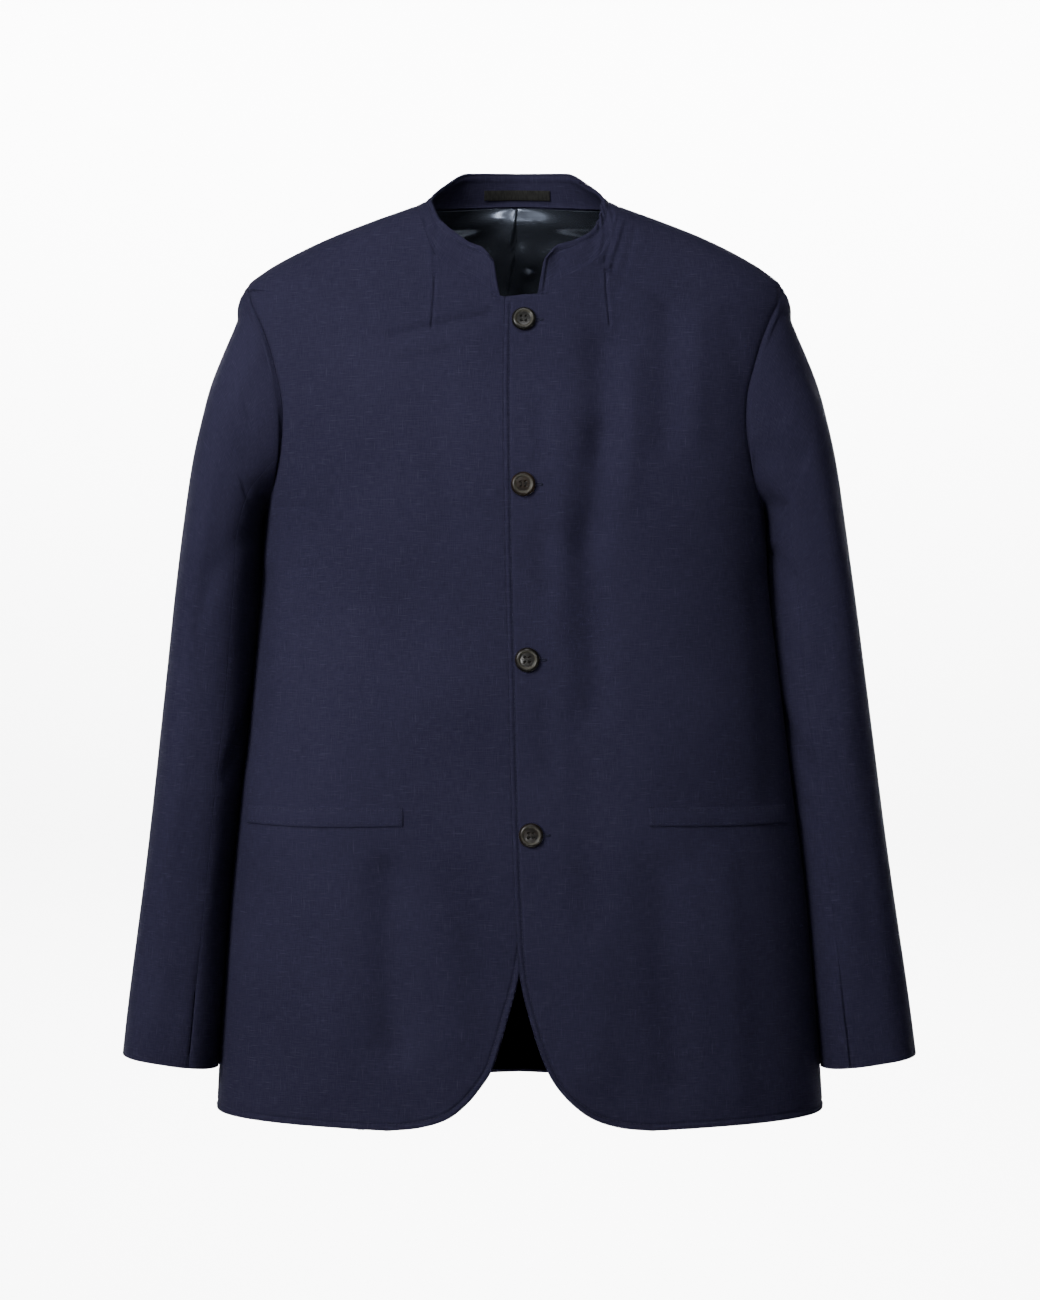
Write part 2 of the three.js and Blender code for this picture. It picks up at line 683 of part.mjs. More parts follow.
/** A closed wall on one or more grids of vertices that share their touching edges. */
function wall(grids, thickness) {
  const points = [];
  const normals = [];
  const known = new Map();
  const triangles = [];
  const edges = new Set();
  for (const rows of grids) {
    const ids = rows.map((line) => line.map(register));
    for (let r = 0; r + 1 < rows.length; r += 1) {
      for (let c = 0; c + 1 < rows[r].length; c += 1) {
        addTriangle(ids[r][c], ids[r + 1][c], ids[r + 1][c + 1]);
        addTriangle(ids[r][c], ids[r + 1][c + 1], ids[r][c + 1]);
      }
    }
  }
  const count = points.length;
  const positions = [];
  for (const point of points) {
    positions.push(point.x + leanShift(-point.z), point.y, point.z);
  }
  for (let i = 0; i < count; i += 1) {
    const point = points[i].clone().addScaledVector(normals[i], -thickness);
    positions.push(point.x + leanShift(-point.z), point.y, point.z);
  }
  const index = [];
  for (const [a, b, c] of triangles) {
    index.push(a, b, c, count + c, count + b, count + a);
  }
  for (const edge of edges) {
    const [a, b] = edge.split(' ').map(Number);
    if (!edges.has(`${b} ${a}`)) {
      index.push(b, a, count + a, b, count + a, count + b);
    }
  }
  const geometry = new THREE.BufferGeometry();
  geometry.setAttribute('position', new THREE.Float32BufferAttribute(positions, 3));
  geometry.setIndex(index);
  geometry.computeVertexNormals();
  return geometry;

  function register({ point, normal }) {
    const key = [point.x, point.y, point.z].map((value) => Math.round(value * 200)).join(' ');
    if (!known.has(key)) {
      known.set(key, points.length);
      points.push(point);
      normals.push(normal);
    }
    return known.get(key);
  }

  function addTriangle(a, b, c) {
    if (a === b || b === c || c === a) {
      return;
    }
    const face = points[b].clone().sub(points[a]).cross(points[c].clone().sub(points[a]));
    const mean = normals[a].clone().add(normals[b]).add(normals[c]);
    const turned = face.dot(mean) < 0 ? [a, c, b] : [a, b, c];
    triangles.push(turned);
    edges.add(`${turned[0]} ${turned[1]}`);
    edges.add(`${turned[1]} ${turned[2]}`);
    edges.add(`${turned[2]} ${turned[0]}`);
  }
}

const cloth = new THREE.MeshStandardMaterial({ color: 0x2b2c40, roughness: 0.9, metalness: 0 });
const liningCloth = new THREE.MeshStandardMaterial({ color: 0x4a5060, roughness: 0.45, metalness: 0 });
const labelCloth = new THREE.MeshStandardMaterial({ color: 0x242628, roughness: 0.7, metalness: 0 });
const horn = new THREE.MeshStandardMaterial({ color: 0x373633, roughness: 0.35, metalness: 0 });

function piece(name, geometry, material) {
  const mesh = new THREE.Mesh(geometry, material.clone());
  mesh.name = name;
  return mesh;
}

/** The back's lining, inside the back and a little short of its edges and hem. */
function liningGeometry() {
  const armholeEnd = NECK_ROWS + ARMHOLE_ROWS;
  const grids = [1, -1].map((side) => {
    const all = halfBackRows(side, HALF_BACK_COLUMNS, LINING_INSET);
    const last = all.length - 1;
    all[last] = all[last].map((low, i) => {
      const high = all[last - 1][i];
      const share = LINING_HEM_RISE / high.point.distanceTo(low.point);
      return vertex(low.point.clone().lerp(high.point, share), low.normal);
    });
    const rows = all.filter((_, row) => row <= NECK_ROWS || row > armholeEnd || row % 2 === 0);
    return moved(rows, -WALL - LINING_GAP);
  });
  return wall(grids, LINING_WALL);
}

/** A welt that follows the front panel under it, from its inner end to its outer end. */
function weltGeometry(side, innerX) {
  const rows = [];
  for (let row = 0; row <= 1; row += 1) {
    const z = -WELT_TOP_DROP - WELT_HEIGHT * row;
    const start = frontAngle(side * innerX, z);
    const end = frontAngle(side * WELT_OUTER_X, z);
    const line = [];
    for (let i = 0; i <= WELT_COLUMNS; i += 1) {
      const angle = mix(start, end, i / WELT_COLUMNS);
      line.push(vertex(bodyPoint(angle, z, sideLift[side]), bodyNormal(angle, z, sideLift[side])));
    }
    rows.push(line);
  }
  return wall([moved(rows, WELT_GAP + WELT_WALL)], WELT_WALL);
}

/** The label inside the back of the collar. */
function labelGeometry() {
  const rows = [LABEL_LOW, LABEL_HIGH].map((height) => {
    const fit = LABEL_HALF_WIDTH / Math.abs(collarVertex(LABEL_REACH, height).point.x);
    const line = [];
    for (let i = 0; i <= LABEL_COLUMNS; i += 1) {
      const at = collarVertex(mix(-LABEL_REACH, LABEL_REACH, i / LABEL_COLUMNS), height);
      at.point.x *= fit;
      line.push(at);
    }
    return line;
  });
  return wall([moved(rows, -COLLAR_WALL - LAYER_GAP)], LABEL_WALL);
}

/** A dished button with a raised rim, its back on the cloth. */
function buttonGeometry() {
  const profile = [
    [0, 0],
    [BUTTON_RADIUS - BUTTON_EDGE, 0],
    [BUTTON_RADIUS, BUTTON_EDGE],
    [BUTTON_RADIUS, BUTTON_HEIGHT - BUTTON_EDGE],
    [BUTTON_RADIUS - BUTTON_EDGE, BUTTON_HEIGHT],
    [BUTTON_RADIUS - BUTTON_RIM + BUTTON_EDGE, BUTTON_HEIGHT],
    [BUTTON_RADIUS - BUTTON_RIM, BUTTON_HEIGHT - BUTTON_DISH],
    [0, BUTTON_HEIGHT - BUTTON_DISH],
  ];
  return new THREE.LatheGeometry(profile.map(([r, h]) => new THREE.Vector2(r, h)), BUTTON_SIDES);
}

function button(name, { x, drop }) {
  const z = -drop;
  const angle = frontAngle(x, z);
  const normal = bodyNormal(angle, z, overlapLift);
  const mesh = piece(name, buttonGeometry(), horn);
  mesh.position.copy(bodyPoint(angle, z, overlapLift).addScaledVector(normal, LAYER_GAP));
  mesh.position.x += leanShift(drop);
  mesh.quaternion.setFromUnitVectors(new THREE.Vector3(0, 1, 0), normal);
  return mesh;
}

const jacket = new THREE.Group();
const backHalves = [1, -1].map((side) => halfBackRows(side, HALF_BACK_COLUMNS, 0));
jacket.add(piece('front_left', wall([frontRows(1, FRONT_COLUMNS)], WALL), cloth));
jacket.add(piece('front_right', wall([frontRows(-1, FRONT_COLUMNS)], WALL), cloth));
jacket.add(piece('back', wall(backHalves, WALL), cloth));
jacket.add(piece('collar', wall([collarRows()], COLLAR_WALL), cloth));
jacket.add(piece('collar_label', labelGeometry(), labelCloth));
jacket.add(piece('back_lining', liningGeometry(), liningCloth));
for (const [word, side] of [['left', 1], ['right', -1]]) {
  const full = 2 * ARMHOLE_ROWS;
  const top = sleeveRows(side, SLEEVE_BACK_SEAM - full, SLEEVE_FRONT_SEAM);
  const under = sleeveRows(side, SLEEVE_FRONT_SEAM, SLEEVE_BACK_SEAM);
  const innerX = side > 0 ? WELT_LEFT_INNER_X : WELT_RIGHT_INNER_X;
  jacket.add(piece(`top_sleeve_${word}`, wall([top], WALL), cloth));
  jacket.add(piece(`under_sleeve_${word}`, wall([under], WALL), cloth));
  jacket.add(piece(`pocket_welt_${word}`, weltGeometry(side, innerX), cloth));
}
BUTTONS.forEach((place, i) => jacket.add(button(`button_${i + 1}`, place)));

export default jacket;
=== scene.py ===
import math

import bpy
import numpy as np
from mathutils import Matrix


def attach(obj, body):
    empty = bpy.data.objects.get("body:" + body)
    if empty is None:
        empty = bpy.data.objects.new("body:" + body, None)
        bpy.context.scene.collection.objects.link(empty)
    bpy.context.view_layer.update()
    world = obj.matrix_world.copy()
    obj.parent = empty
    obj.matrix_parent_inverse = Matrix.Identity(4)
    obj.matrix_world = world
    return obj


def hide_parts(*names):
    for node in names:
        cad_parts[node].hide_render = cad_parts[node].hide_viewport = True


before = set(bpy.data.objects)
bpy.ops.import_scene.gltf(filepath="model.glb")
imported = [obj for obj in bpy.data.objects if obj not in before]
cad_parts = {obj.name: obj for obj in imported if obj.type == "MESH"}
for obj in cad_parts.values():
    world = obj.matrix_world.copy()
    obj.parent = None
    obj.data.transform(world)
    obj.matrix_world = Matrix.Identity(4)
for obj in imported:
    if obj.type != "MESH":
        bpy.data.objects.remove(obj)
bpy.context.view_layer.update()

# A short tailored jacket with a low band collar, filled out as worn.
# Tables and surface functions are in millimetres; MM turns them into the frame's metres.
MM = 0.001

# Camera
IMAGE_HEIGHT_AT_ORIGIN = 1.04
CAMERA_DISTANCE = 3.0
CAMERA_HEIGHT = -0.3544
SENSOR_HEIGHT = 36.0

camera_data = bpy.data.cameras.new("photo_camera")
camera_data.sensor_fit = "VERTICAL"
camera_data.sensor_height = SENSOR_HEIGHT
camera_data.lens = SENSOR_HEIGHT * CAMERA_DISTANCE / IMAGE_HEIGHT_AT_ORIGIN
camera = bpy.data.objects.new("photo_camera", camera_data)
camera.location = (0.0, -CAMERA_DISTANCE, CAMERA_HEIGHT)
camera.rotation_euler = (math.radians(90.0), 0.0, 0.0)
bpy.context.scene.collection.objects.link(camera)
bpy.context.scene.camera = camera

# Named values
WALL = 1.8
COLLAR_WALL = 2.4
LINING_WALL = 0.8
LABEL_WALL = 0.7
WELT_WALL = 1.0
SEAM_GAP = -0.12
LAYER_GAP = 0.5
OVERLAP_GAP = 1.1
LINING_GAP = 1.25
WELT_GAP = 0.3

SHOULDER_DROP = 64
ARMPIT_DROP = 243
SIDE_HEM_DROP = 718
BACK_HEM_DROP = 703
BACK_NECK_RISE = 7
LINING_HEM_RISE = 3
# The lining shows its satin down to this drop; below it the lining is painted near black, as painted shade
# inside the hollow back.
PAINTED_SHADE_DROP = 230
HEM_START_DROP = 600

# Sections of the body: drop, half width, depth in front, depth behind, power
BODY = np.array([
    (-8, 63, 56, 60, 2.1), (0, 81, 58, 63, 2.1), (13, 117, 61, 68, 2.1),
    (26, 150, 64, 73, 2.15), (39, 177, 67, 78, 2.2), (52, 199, 70, 83, 2.25),
    (66, 215, 74, 88, 2.3), (85, 221, 80, 94, 2.4), (120, 219, 91, 102, 2.5),
    (175, 208, 105, 108, 2.6), (243, 200, 116, 106, 2.6), (394, 212, 116, 94, 2.5),
    (482, 222, 113, 94, 2.45), (562, 231, 110, 97, 2.4), (635, 236.5, 107, 100, 2.4),
    (740, 243, 103, 103, 2.4),
], float)

# The upper body stands a little towards the wearer's right: drop, shift
LEAN = np.array([
    (-40, -2.5), (0, -2.5), (80, -4.5), (240, -4.5), (400, -3), (560, -1.5), (740, 0),
], float)

# Neck seams and front edges: x, drop
NECK = {
    1: [(81, 0), (79, 8), (77, 22), (69, 43), (54, 56), (37, 65), (18, 77)],
    -1: [(-81, 0), (-78, 8), (-72, 23), (-62, 45), (-46, 58), (-29, 67), (-11, 78)],
}
EDGE = {
    1: [(-8, 79), (-9, 146), (-8, 243), (-6.5, 354), (-5, 470), (-3, 540), (-1, 586), (2, 614),
        (8.5, 641), (15, 663), (22, 681), (30, 694), (41, 706), (56, 717), (76, 724), (103, 727)],
    -1: [(24, 88), (24, 146), (23, 243), (21, 354), (17, 470), (10, 545), (4, 590), (-1, 614),
         (-8.5, 640), (-15, 662), (-22, 681), (-30, 693), (-40, 705), (-55, 717), (-76, 724),
         (-103, 727)],
}
OVERLAP_FULL_X = 38
OVERLAP_END_X = 78

ARMHOLE_FRONT_TURN = math.radians(36.5)
ARMHOLE_BACK_TURN = math.radians(34)
ARMHOLE_SQUARENESS = 0.74
ARMHOLE_SHOULDER_TILT = 0.6

# Sleeve rings: outer x and drop, inner x and drop, middle y, half depth, hold of the armhole
SLEEVE = np.array([
    (214, 64, 200, 243, 2, 66, 1), (223, 80, 203, 246, 2, 70, 0.8),
    (232, 107, 205.5, 250, 3, 74, 0.5), (243, 146, 207, 256, 4, 77, 0.22),
    (254, 194, 208.5, 268, 5, 78, 0.06), (262, 245, 209.5, 290, 6, 77, 0),
    (270, 300, 211.5, 325, 7, 75, 0), (281, 394, 217, 400, 8, 70, 0),
    (291, 480, 226.5, 482, 6, 65, 0), (300.5, 554, 235, 560, 2, 60, 0),
    (309, 622, 241, 632, -3, 55, 0), (315.5, 675, 245.5, 686, -6, 52, 0),
], float)
SLEEVE_POWER = 2.8
SLEEVE_FRONT_SEAM = 8
SLEEVE_BACK_SEAM = 16
HALF_TURN_STEPS = 12
BODY_CLEARANCE = 0.3
# How far the sleeve's inner side comes in: drop, distance
SLEEVE_DRAW = [(240, 6.0), (262, 9.5), (330, 9.5), (420, 6.8), (700, 6.4)]

# Collar from the middle of the back (0) by the shoulder seam (1) to its end (2): inward, rise
COLLAR = np.array([
    (0, 4, 27), (0.45, 9, 27), (0.75, 12, 17), (0.9, 12.5, 11.5), (1, 12.5, 7), (1.2, 13, 10),
    (1.4, 13, 18), (1.7, 12, 26), (2, 5, 32.5),
], float)
COLLAR_END_SLANT = 7
COLLAR_END_ROUND = 0.22
COLLAR_END_LOSS = 0.24
NECK_AXIS_Y = -6
# A point low in the neck, from which the collar's outer face looks away
COLLAR_CENTRE = np.array([0, NECK_AXIS_Y, -40.0])
# The right half stands higher beside the shoulder: how much, at which place, how far round
RIGHT_RISE = (3.5, 1.48, 0.15)
# Length of one place of the collar at its ends, on the whole and at the label, and its width behind
END_PLACE_LENGTH = 86
MEAN_PLACE_LENGTH = 82
LABEL_PLACE_LENGTH = 88
BACK_BAND = 27
# Creases of the collar, in 80ths of a place round it and 26ths of the way up, as the folds below
CREASE_UNITS = (80, 26)
COLLAR_CREASES = [
    (86, 25, 106, 2, 2.0, 1.5), (93, 25, 116, 0, 2.0, 2.0), (97, 24, 117, 4, 1.8, -1.0),
    (102, 24, 126, 2, 2.2, 1.7), (112, 22, 132, 4, 3.0, 1.0), (84, 14, 92, 2, 2, 1.2),
    (-112, 4, -104, 22, 4, 0.6), (-96, 2, -88, 20, 3, 0.5), (136, 3, 146, 18, 5, 0.6),
]

# Folds of the body: on the front (1) or back (0), from x and drop to x and drop, width, depth.
# A negative depth is a ridge.
FOLDS = np.array([
    (1, 68, 120, 68, 200, 14, 4.6), (1, 68, 190, 58, 270, 13, 4.6), (1, 58, 260, 60, 400, 14, 4.0),
    (1, 122, 92, 117, 193, 13, 3.2), (1, 168, 96, 178, 150, 10, 1.3),
    (1, -100, 530, -96, 660, 16, 6.4), (1, -52, 560, -46, 660, 12, -1.2),
    (1, -64, 150, -50, 260, 18, 2.2),
    (0, -78, 200, -70, 430, 20, 3.5), (0, 86, 170, 74, 400, 18, 3.5),
    (0, 30, 470, 44, 660, 26, 4), (0, -96, 500, -120, 640, 24, 3.5),
    # finer ones between the main ones
    (1, 20, 168, 22, 205, 8, 1.6), (1, 21, 268, 23, 306, 9, 1.8), (1, 23, 398, 25, 446, 9, 1.6),
    (1, 92, 130, 88, 240, 9, -1.6), (1, 38, 215, 34, 340, 9, -1.2), (1, 144, 104, 142, 188, 9, -1.3),
    (1, -94, 110, -20, 94, 5.0, 2.4), (1, -86, 122, -30, 110, 7, -1.0), (1, -88, 130, -50, 124, 7, 1.0),
    (1, -62, 520, -52, 650, 15, -1.6), (1, -140, 560, -146, 690, 14, -1.2),
    (1, 112, 530, 122, 690, 17, 3.6), (1, 160, 520, 172, 700, 13, -1.8),
    (1, 192, 300, 200, 470, 10, 1.8), (1, 70, 560, 62, 680, 16, -1.6), (1, 46, 410, 58, 560, 16, 2.2),
    (1, -150, 250, -160, 420, 20, 1.4), (1, -196, 300, -204, 440, 9, 1.6),
    (1, 80, 16, 70, 52, 3, 1.3), (1, 86, 20, 76, 58, 3, 1.2), (1, 83, 18, 73, 54, 2.4, -0.7),
    (1, 93, 24, 84, 66, 4, 0.9), (1, 64, 44, 92, 66, 5, 0.8), (1, 96, 60, 118, 84, 6, 0.9),
    (0, 0, 190, 4, 420, 16, 1.8), (0, -130, 120, -104, 260, 13, 1.8), (0, 134, 130, 108, 280, 13, 1.8),
    (0, -20, 520, -28, 690, 18, -1.6), (0, 100, 540, 116, 690, 18, 2.0), (0, 60, 60, 20, 110, 12, 0.9),
    (0, -64, 70, -18, 116, 12, 0.9), (0, -150, 440, -170, 640, 15, -1.4),
], float)

# Folds of the sleeves: side, along and step of both ends, width in mm, depth
SLEEVE_FOLDS = np.array([
    (1, 1.5, 10.2, 3.6, 8.2, 7, 2.0), (1, 1.2, 8.0, 3.4, 5.6, 8, 1.4), (1, 0.7, 3.0, 3.0, 2.0, 9, 1.3),
    (1, 4.6, 9.8, 6.6, 6.5, 9, 1.5), (1, 6.8, 11.6, 7.6, 8.2, 7, 1.8), (1, 7.4, 4.0, 9.8, 5.5, 12, 1.2),
    (1, 2.6, 5.2, 6.4, 3.6, 12, -1.1), (1, 8.2, 9.2, 10.2, 8.0, 10, -1.0),
    (1, 5.8, -5.0, 8.6, -2.5, 12, 1.6), (1, 6.2, 14.0, 7.4, 17.0, 8, 1.8),
    (1, 3.0, -4.5, 5.0, -6.5, 12, 1.2),
    (-1, 1.3, 9.8, 3.2, 7.6, 7, 1.8), (-1, 0.6, 2.6, 2.6, 3.4, 7, 1.4), (-1, 0.5, 4.6, 2.2, 5.0, 7, 1.0),
    (-1, 4.2, 9.0, 6.2, 5.4, 10, 1.3), (-1, 6.6, 11.4, 7.6, 8.8, 7, 1.7),
    (-1, 7.6, 3.2, 10.2, 4.4, 12, 1.2),
    (-1, 3.0, 5.6, 6.6, 4.4, 12, -1.0), (-1, 8.4, 8.6, 10.6, 7.4, 10, -1.0),
    (-1, 5.6, -4.0, 8.2, -2.0, 12, 1.6), (-1, 6.0, 14.5, 7.2, 17.5, 8, 1.8),
    (-1, 2.6, -5.5, 4.6, -6.5, 12, 1.2),
], float)
# Slack places of the lining beside its pleat, as the folds above
LINING_PUFFS = np.array([
    (5, 28, 11, 36, 7, 3.4), (-9, 14, -6, 17, 6, 2.8), (24, 30, 36, 27, 5, 2.4), (14, 62, 16, 64, 6, 2.8),
    (-34, 26, -22, 33, 6, 2.0), (-8, 66, -4, 74, 7, 2.4),
], float)
# Edge of the lining's pleat: drop, x
LINING_PLEAT = [(-7, -1.0), (18, -5.0), (30, -3.0), (60, -7.0)]
LINING_FIRST_ROW = 0.3
LINING_INSET = 3.0
RING_SPACING = 58.0
STEP_SPACING = 12.5

# Welts: drop of the top edge, height, outer x, inner x on the left and right front
WELT_TOP_DROP = 476
WELT_HEIGHT = 14.5
WELT_OUTER_X = 212
WELT_INNER_X = {1: 102, -1: 88}

# Share of the way down a welt, lift of its face: sunk at the sewn edge, full near the lower one
WELT_PROFILE = [(0, -0.7), (0.08, -0.45), (0.3, 0.2), (0.6, 0.6), (0.85, 0.75), (0.95, 0.6), (1.0, 0.3)]
WELT_SINK = 0.55

# Middles of the buttons: x, drop
BUTTONS = [(7.5, 97.5), (7, 227), (9, 362), (10.5, 497)]

LABEL_HALF_WIDTH = 28
LABEL_LOW = 0.2
LABEL_HIGH = 0.5
LABEL_REACH = 0.3
LABEL_COLUMNS = 60

NECK_ROWS = 8
TOP_EDGE_ROWS = 1
ARMHOLE_ROWS = 12
SIDE_ROWS = 8
HEM_ROWS = 9
BACK_HEM_ROWS = 3
STITCH_INSET = 5.0
STITCH_HOLLOW = 0.85
EDGE_ROLL = 0.45
# Above this drop the front has no stitched edge
UNSTITCHED_DROP = 74
SEAM_DEPTH = 0.95
SEAM_POINTS = 900
SEAM_TURN_REACH = 3
SEAM_HOLLOW_REACH = 2
# Shares of a seam's hollow: at the neck in front, and on the sleeve's front seam above and below
# the row where it starts to show
HIDDEN_SEAM = 0.03
UPPER_SLEEVE_SEAM = 0.05
LOWER_SLEEVE_SEAM = 0.8
CUFF_SEAM_START = 9.2
DART_DEPTH = 0.9
DART_ROLL = 0.35
# Row numbers start just past the neck, where a panel's first row would be a point
FIRST_ROW = 0.04
WELD_PER_MM = 50
NOTCH_COLUMNS = 12
NOTCH_LEAST = 3.0
RIM_DRAW = 0.8


# Curves and surfaces
def column(keys, values):
    """A cubic through each value at its key. Its slope at a key is the harmonic mean of the two
    straight slopes beside it, so it never overshoots; outside the keys it keeps the end values."""
    steps = np.diff(values) / np.diff(keys)
    product = steps[:-1] * steps[1:]
    total = np.where(product > 0, steps[:-1] + steps[1:], 1)
    middle = np.where(product > 0, 2 * product / total, 0)
    slopes = np.concatenate([steps[:1], middle, steps[-1:]])

    def at(where):
        i = np.clip(np.searchsorted(keys, where, side="left") - 1, 0, len(keys) - 2)
        span = keys[i + 1] - keys[i]
        t = np.clip((where - keys[i]) / span, 0, 1)
        back = 1 - t
        start = values[i] * (1 + 2 * t) * back ** 2 + slopes[i] * span * t * back ** 2
        end = values[i + 1] * (3 - 2 * t) * t ** 2 - slopes[i + 1] * span * back * t ** 2
        return start + end

    return at


def smooth_path(points):
    """A curve through points in the plane, read by the share of its length. Each piece is a cubic
    whose end slopes come from the neighbouring points, weighted by the roots of their distances."""
    p = np.array(points, float)
    p = np.vstack([2 * p[0] - p[1], p, 2 * p[-1] - p[-2]])
    gap = np.sum(np.diff(p, axis=0) ** 2, axis=1) ** 0.25
    t = np.linspace(0, 1, 80)[:, None]
    parts = []
    for i in range(1, len(p) - 2):
        g0, g1, g2 = gap[i - 1], gap[i], gap[i + 1]
        a, b, c, d = p[i - 1], p[i], p[i + 1], p[i + 2]
        first = ((b - a) / g0 - (c - a) / (g0 + g1) + (c - b) / g1) * g1
        last = ((c - b) / g1 - (d - b) / (g1 + g2) + (d - c) / g2) * g1
        parts.append(b + first * t + (3 * (c - b) - 2 * first - last) * t ** 2
                     + (2 * (b - c) + first + last) * t ** 3)
    line = np.vstack(parts)
    run = np.concatenate([[0], np.cumsum(np.linalg.norm(np.diff(line, axis=0), axis=1))])
    run /= run[-1]
    return lambda share: (np.interp(share, run, line[:, 0]), np.interp(share, run, line[:, 1]))


body_half_width = column(BODY[:, 0], BODY[:, 1])
body_front = column(BODY[:, 0], BODY[:, 2])
body_back = column(BODY[:, 0], BODY[:, 3])
body_power = column(BODY[:, 0], BODY[:, 4])
lean_shift = column(LEAN[:, 0], LEAN[:, 1])
collar_inward = column(COLLAR[:, 0], COLLAR[:, 1])
collar_rise = column(COLLAR[:, 0], COLLAR[:, 2])
sleeve_columns = [column(np.arange(len(SLEEVE), dtype=float), SLEEVE[:, i]) for i in range(7)]
neck_curve = {side: smooth_path(NECK[side]) for side in (1, -1)}
edge_curve = {side: smooth_path(EDGE[side]) for side in (1, -1)}


def mix(a, b, t):
    """The value a share t of the way from a to b."""
    return a + (b - a) * t


def ease(t):
    """Rises from 0 to 1 with level ends."""
    t = np.clip(t, 0, 1)
    return t * t * (3 - 2 * t)


def unit(v):
    """Vectors divided by their lengths."""
    return v / np.maximum(np.linalg.norm(v, axis=-1, keepdims=True), 1e-12)


def bell(distance, width):
    """1 at distance 0, falling off evenly on both sides: e to the minus square of the ratio."""
    return np.exp(-(distance / width) ** 2)


def fold_sum(a, b, folds):
    """Sum of the folds' depths: each one's depth times a bell curve of the distance to its line."""
    total = np.zeros(np.broadcast(a, b).shape)
    for a0, b0, a1, b1, width, depth in folds:
        run_a, run_b = a1 - a0, b1 - b0
        near = ((a - a0) * run_a + (b - b0) * run_b) / (run_a ** 2 + run_b ** 2)
        near = np.clip(near, 0, 1)
        away = np.hypot(a - a0 - near * run_a, b - b0 - near * run_b)
        total += depth * bell(away, width)
    return total


def overlap_lift(x):
    """Outward step of the left front over the right one."""
    return (WALL + OVERLAP_GAP) * ease((OVERLAP_END_X - x) / (OVERLAP_END_X - OVERLAP_FULL_X))


def body_point(angle, z, over=False):
    """The body at an angle round it from the middle of the front: a rounded rectangle at each
    height, moved out by the overlap's step and in by the folds."""
    angle, z = np.broadcast_arrays(np.asarray(angle, float), np.asarray(z, float))
    drop = -z
    power = body_power(drop)
    across, along = np.sin(angle), np.cos(angle)
    radius = (np.abs(across) ** power + np.abs(along) ** power) ** (-1 / power)
    half = body_half_width(drop)
    depth = np.where(along > 0, body_front(drop), body_back(drop))
    x = half * radius * across
    y = -depth * radius * along
    out = unit(np.stack([np.sign(across) * np.abs(across) ** (power - 1) / half,
                         -np.sign(along) * np.abs(along) ** (power - 1) / depth], axis=-1))
    front = fold_sum(x, drop, FOLDS[FOLDS[:, 0] == 1, 1:])
    back = fold_sum(x, drop, FOLDS[FOLDS[:, 0] == 0, 1:])
    ripple = 0.5 * np.sin(x / 27 + drop / 61) * np.sin(drop / 43 - x / 90 + 1)
    move = (overlap_lift(x) if over else 0) - np.where(along > 0, front, back) + ripple
    return np.stack([x + out[..., 0] * move, y + out[..., 1] * move, z], axis=-1)


def front_angle(x, z):
    """The angle round the body at which a front point lies at x."""
    power = body_power(-z)
    share = np.clip(np.abs(x) / body_half_width(-z), 0, 1)
    return np.arctan2(np.sign(x) * share, (1 - share ** power) ** (1 / power))


def leaned(points):
    """Points moved sideways by the body's lean at their height."""
    moved = np.array(points, float)
    moved[..., 0] += lean_shift(-moved[..., 2])
    return moved


def neck_place(side, place):
    """Angle and height of the neck seam: place 0 is the back's middle, 1 the shoulder, 2 the end."""
    place = np.asarray(place, float)
    turn = np.pi / 2 * np.minimum(place, 1)
    x, drop = neck_curve[side](np.clip(place - 1, 0, 1))
    behind = place <= 1
    angle = np.where(behind, side * (np.pi - turn), front_angle(x, -drop))
    return angle, np.where(behind, BACK_NECK_RISE * np.cos(turn), -drop)


def neck_point(side, place):
    """The body's point at a place of the neck seam, on the left front with the overlap's step."""
    angle, z = neck_place(side, place)
    base = body_point(angle, z)
    if side > 0:
        base = np.where((np.asarray(place) > 1)[..., None], body_point(angle, z, True), base)
    return base


def collar_band(place):
    """Width of the collar from its foot to its top edge."""
    return np.hypot(collar_rise(place), collar_inward(place))


def collar_point(around, height):
    """The collar's outer face: around is -2 at the right end and 2 at the left one, height 0 the
    neck seam and 1 the top edge. It leans inwards and rises by its table, and its ends are cut
    slanting and rounded."""
    around, height = np.broadcast_arrays(np.asarray(around, float), np.asarray(height, float))
    side = np.where(around < 0, -1, 1)
    place = np.abs(around)
    base = np.where((around < 0)[..., None], neck_point(-1, place), neck_point(1, place))
    inward = unit(np.stack([-base[..., 0], NECK_AXIS_Y - base[..., 1]], axis=-1))
    share = np.maximum(0, (place - 2 + COLLAR_END_ROUND) / COLLAR_END_ROUND)
    up = height * (1 - COLLAR_END_LOSS * (1 - np.sqrt(np.maximum(0, 1 - share ** 2))))
    lean = collar_inward(place) * up
    point = np.array(base)
    point[..., 0] += inward[..., 0] * lean + side * COLLAR_END_SLANT * up * share
    point[..., 1] += inward[..., 1] * lean
    more, at, reach = RIGHT_RISE
    stand = collar_rise(place) + np.where(side < 0, more * bell(place - at, reach), 0)
    point[..., 2] += stand * up
    return point


def armhole_place(side, step):
    """The armhole's outline: step 0 is the shoulder point, 12 the armpit, going down the front."""
    turn = np.pi * np.asarray(step, float) / HALF_TURN_STEPS
    drop = mix(SHOULDER_DROP, ARMPIT_DROP, (1 - np.cos(turn)) / 2)
    sway = np.sin(turn)
    amount = np.abs(sway) ** ARMHOLE_SQUARENESS
    offset = np.where(sway > 0, -ARMHOLE_FRONT_TURN * amount, ARMHOLE_BACK_TURN * amount)
    return side * (np.pi / 2 + offset), -drop


